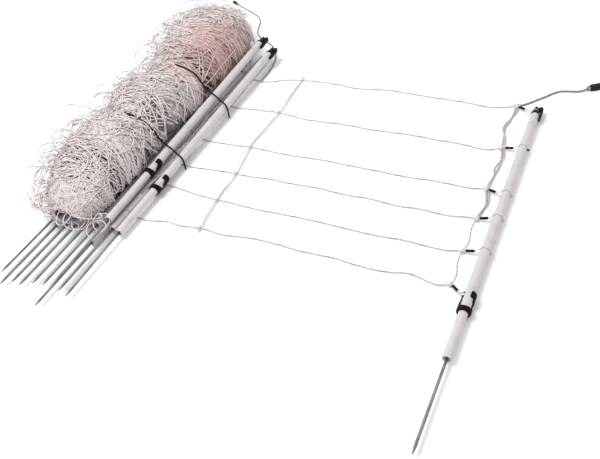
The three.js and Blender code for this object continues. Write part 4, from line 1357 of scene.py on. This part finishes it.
def connector_piece(name, node, start, end, middle_z, width, height):
    """A connector: a body with a raised rim round a sunk panel, grips on its sides, and a zinc crimp."""
    length = math.dist(start, end)
    half = width / 2
    body = [(5, -half * 0.7), (9, -half), (length - 3, -half), (length, -half * 0.7), (length, half * 0.7),
            (length - 3, half), (9, half), (5, half * 0.7)]
    low, high = -height / 2, height / 2
    meshes = [rounded_block("body", body, low, high - 1.0, 0.5)]
    rim = [(10, half - 2.2), (length - 3.5, half - 2.2), (length - 3.5, half - 0.4), (10, half - 0.4)]
    meshes.append(rounded_block("rim", rim, high - 1.4, high, 0.25))
    meshes.append(rounded_block("rim", [(x, -y) for x, y in rim[::-1]], high - 1.4, high, 0.25))
    for x in (10, length - 5.3):
        bar = [(x, -half + 0.6), (x + 1.8, -half + 0.6), (x + 1.8, half - 0.6), (x, half - 0.6)]
        meshes.append(rounded_block("bar", bar, high - 1.4, high - 0.05, 0.25))
    panel = [(length * 0.5, -half * 0.35), (length * 0.72, -half * 0.35), (length * 0.72, half * 0.35),
             (length * 0.5, half * 0.35)]
    meshes.append(rounded_block("panel", panel, high - 1.3, high - 0.5, 0.2))
    turn = Matrix.Rotation(math.atan2(end[1] - start[1], end[0] - start[0]), 4, "Z")
    matrix = Matrix.Translation(Vector(at([*start, middle_z]))) @ turn
    piece = new_piece(name, joined(name, meshes), CONNECTOR, [node], matrix)
    crimp = [(-1, -half * 0.5), (2, -half * 0.62), (8, -half * 0.62), (8, half * 0.62), (2, half * 0.62),
             (-1, half * 0.5)]
    metal = rounded_block(name + "_crimp", crimp, low * 0.72, high * 0.8, 0.4)
    band = new_piece(name + "_crimp", metal, CRIMP, [node], matrix)
    return [piece, band]


# Each tail's side, route and radius, and its connector's start, end, middle height, width and height
TAILS = [
    ("right", TAIL_RIGHT_ROUTE, TAIL_R * 1.3, ((143.6, 114.4), (176, 136), 5.5, 15, 10)),
    ("left", TAIL_LEFT_ROUTE, TAIL_R, ((-930.6, 361.3), (-957, 377), 3.6, 7, 6.5)),
]


def make_tails():
    """The two connectors, and then the cords that end at them."""
    for side, _, _, sizes in TAILS:
        connector_piece(f"{side}_connector", f"tail_{side}_connector", *sizes)
    for side, route, radius, _ in TAILS:
        twisted_cord(
            f"tail_cord_{side}", route, radius, TAIL, 14, [f"tail_{side}"]
        )


make_tails()


# The stay that is laid out, with a moulded crossing at each strand
STAY_CROSSINGS = [[point for point in route if point[2] == STAY_Z][0] for route in STRAND_ROUTES]


def make_stay():
    """The flat strip, which turns a little along its way, and its crossings."""
    path = smoothed([[-545.5, 0, 3.4], *STAY_CROSSINGS, [-520.5, -612, 3.4]], 6.0)
    along = np.linspace(0, 1, len(path))
    turns = 1.45 - 0.35 * along + 0.3 * np.sin(along * 17) + 0.15 * np.sin(along * 41 + 1)
    path[:, 2] += 0.8 + 1.2 * np.abs(np.cos(turns))
    mesh = swept_mesh("spread_stay", [path], STAY_OUTLINE, up=[[0, 0, 1.0]], turns=turns)
    shade(mesh, False)
    new_piece("spread_stay", mesh, STAY, ["stay"])
    nubs = []
    profile = [[-4.6, 0], [-4.2, 1.8], [-2, 2.9], [0, 3.2], [2, 2.9], [4.2, 1.8], [4.6, 0]]
    for x, y, z in STAY_CROSSINGS:
        nub = turned_mesh("nub", profile, 16)
        nub.transform(Matrix.Translation(Vector(at([x, y, z + 0.8]))))
        nubs.append(nub)
    new_piece("stay_crossings", joined("stay_crossings", nubs), STAY, ["stay"])


make_stay()


# The two black ties: from the floor beside the outer post over the second one and the heap
TIE_STARTS = [
    (-405, [[13, 2.4], [13, 14], [12, 27], [6, 35], [-3, 39], [-18, 49], [-30, 54], [-44, 60]], 0.56),
    (-190, [[13, 2.4], [13, 16], [12, 31], [6, 40], [-3, 44], [-18, 55], [-30, 61], [-44, 68]], 0.5),
]
TIE_SLANT = -0.2


def make_heap_ties():
    """Each tie sinks between the strands on the far side of the heap."""
    rng = np.random.default_rng(5)
    for number, (y, start, cover) in enumerate(TIE_STARTS, 1):
        left = np.interp(y, table_y, heap_left)
        right = np.interp(y, table_y, heap_right)
        points = [[OUTER_POST_X + x, y, z] for x, z in start]
        for angle in np.linspace(0.22, 0.97, 12) * math.pi:
            share = 1.025 - 0.1 * ease(angle / math.pi, cover - 0.12, cover + 0.1)
            points.append(heap_point(y, angle, share + 0.01 * rng.normal()))
        points.append([left + 7, y, 2.4])
        points = np.array(points, float)
        points[:, 1] += TIE_SLANT * (points[:, 0] - (left + right) / 2)
        path = smoothed(points, 3.0)
        cord_piece(f"heap_tie_{number}", [path], TIE_R, 10, TIE, [f"bundle_tie_{number}"])


make_heap_ties()
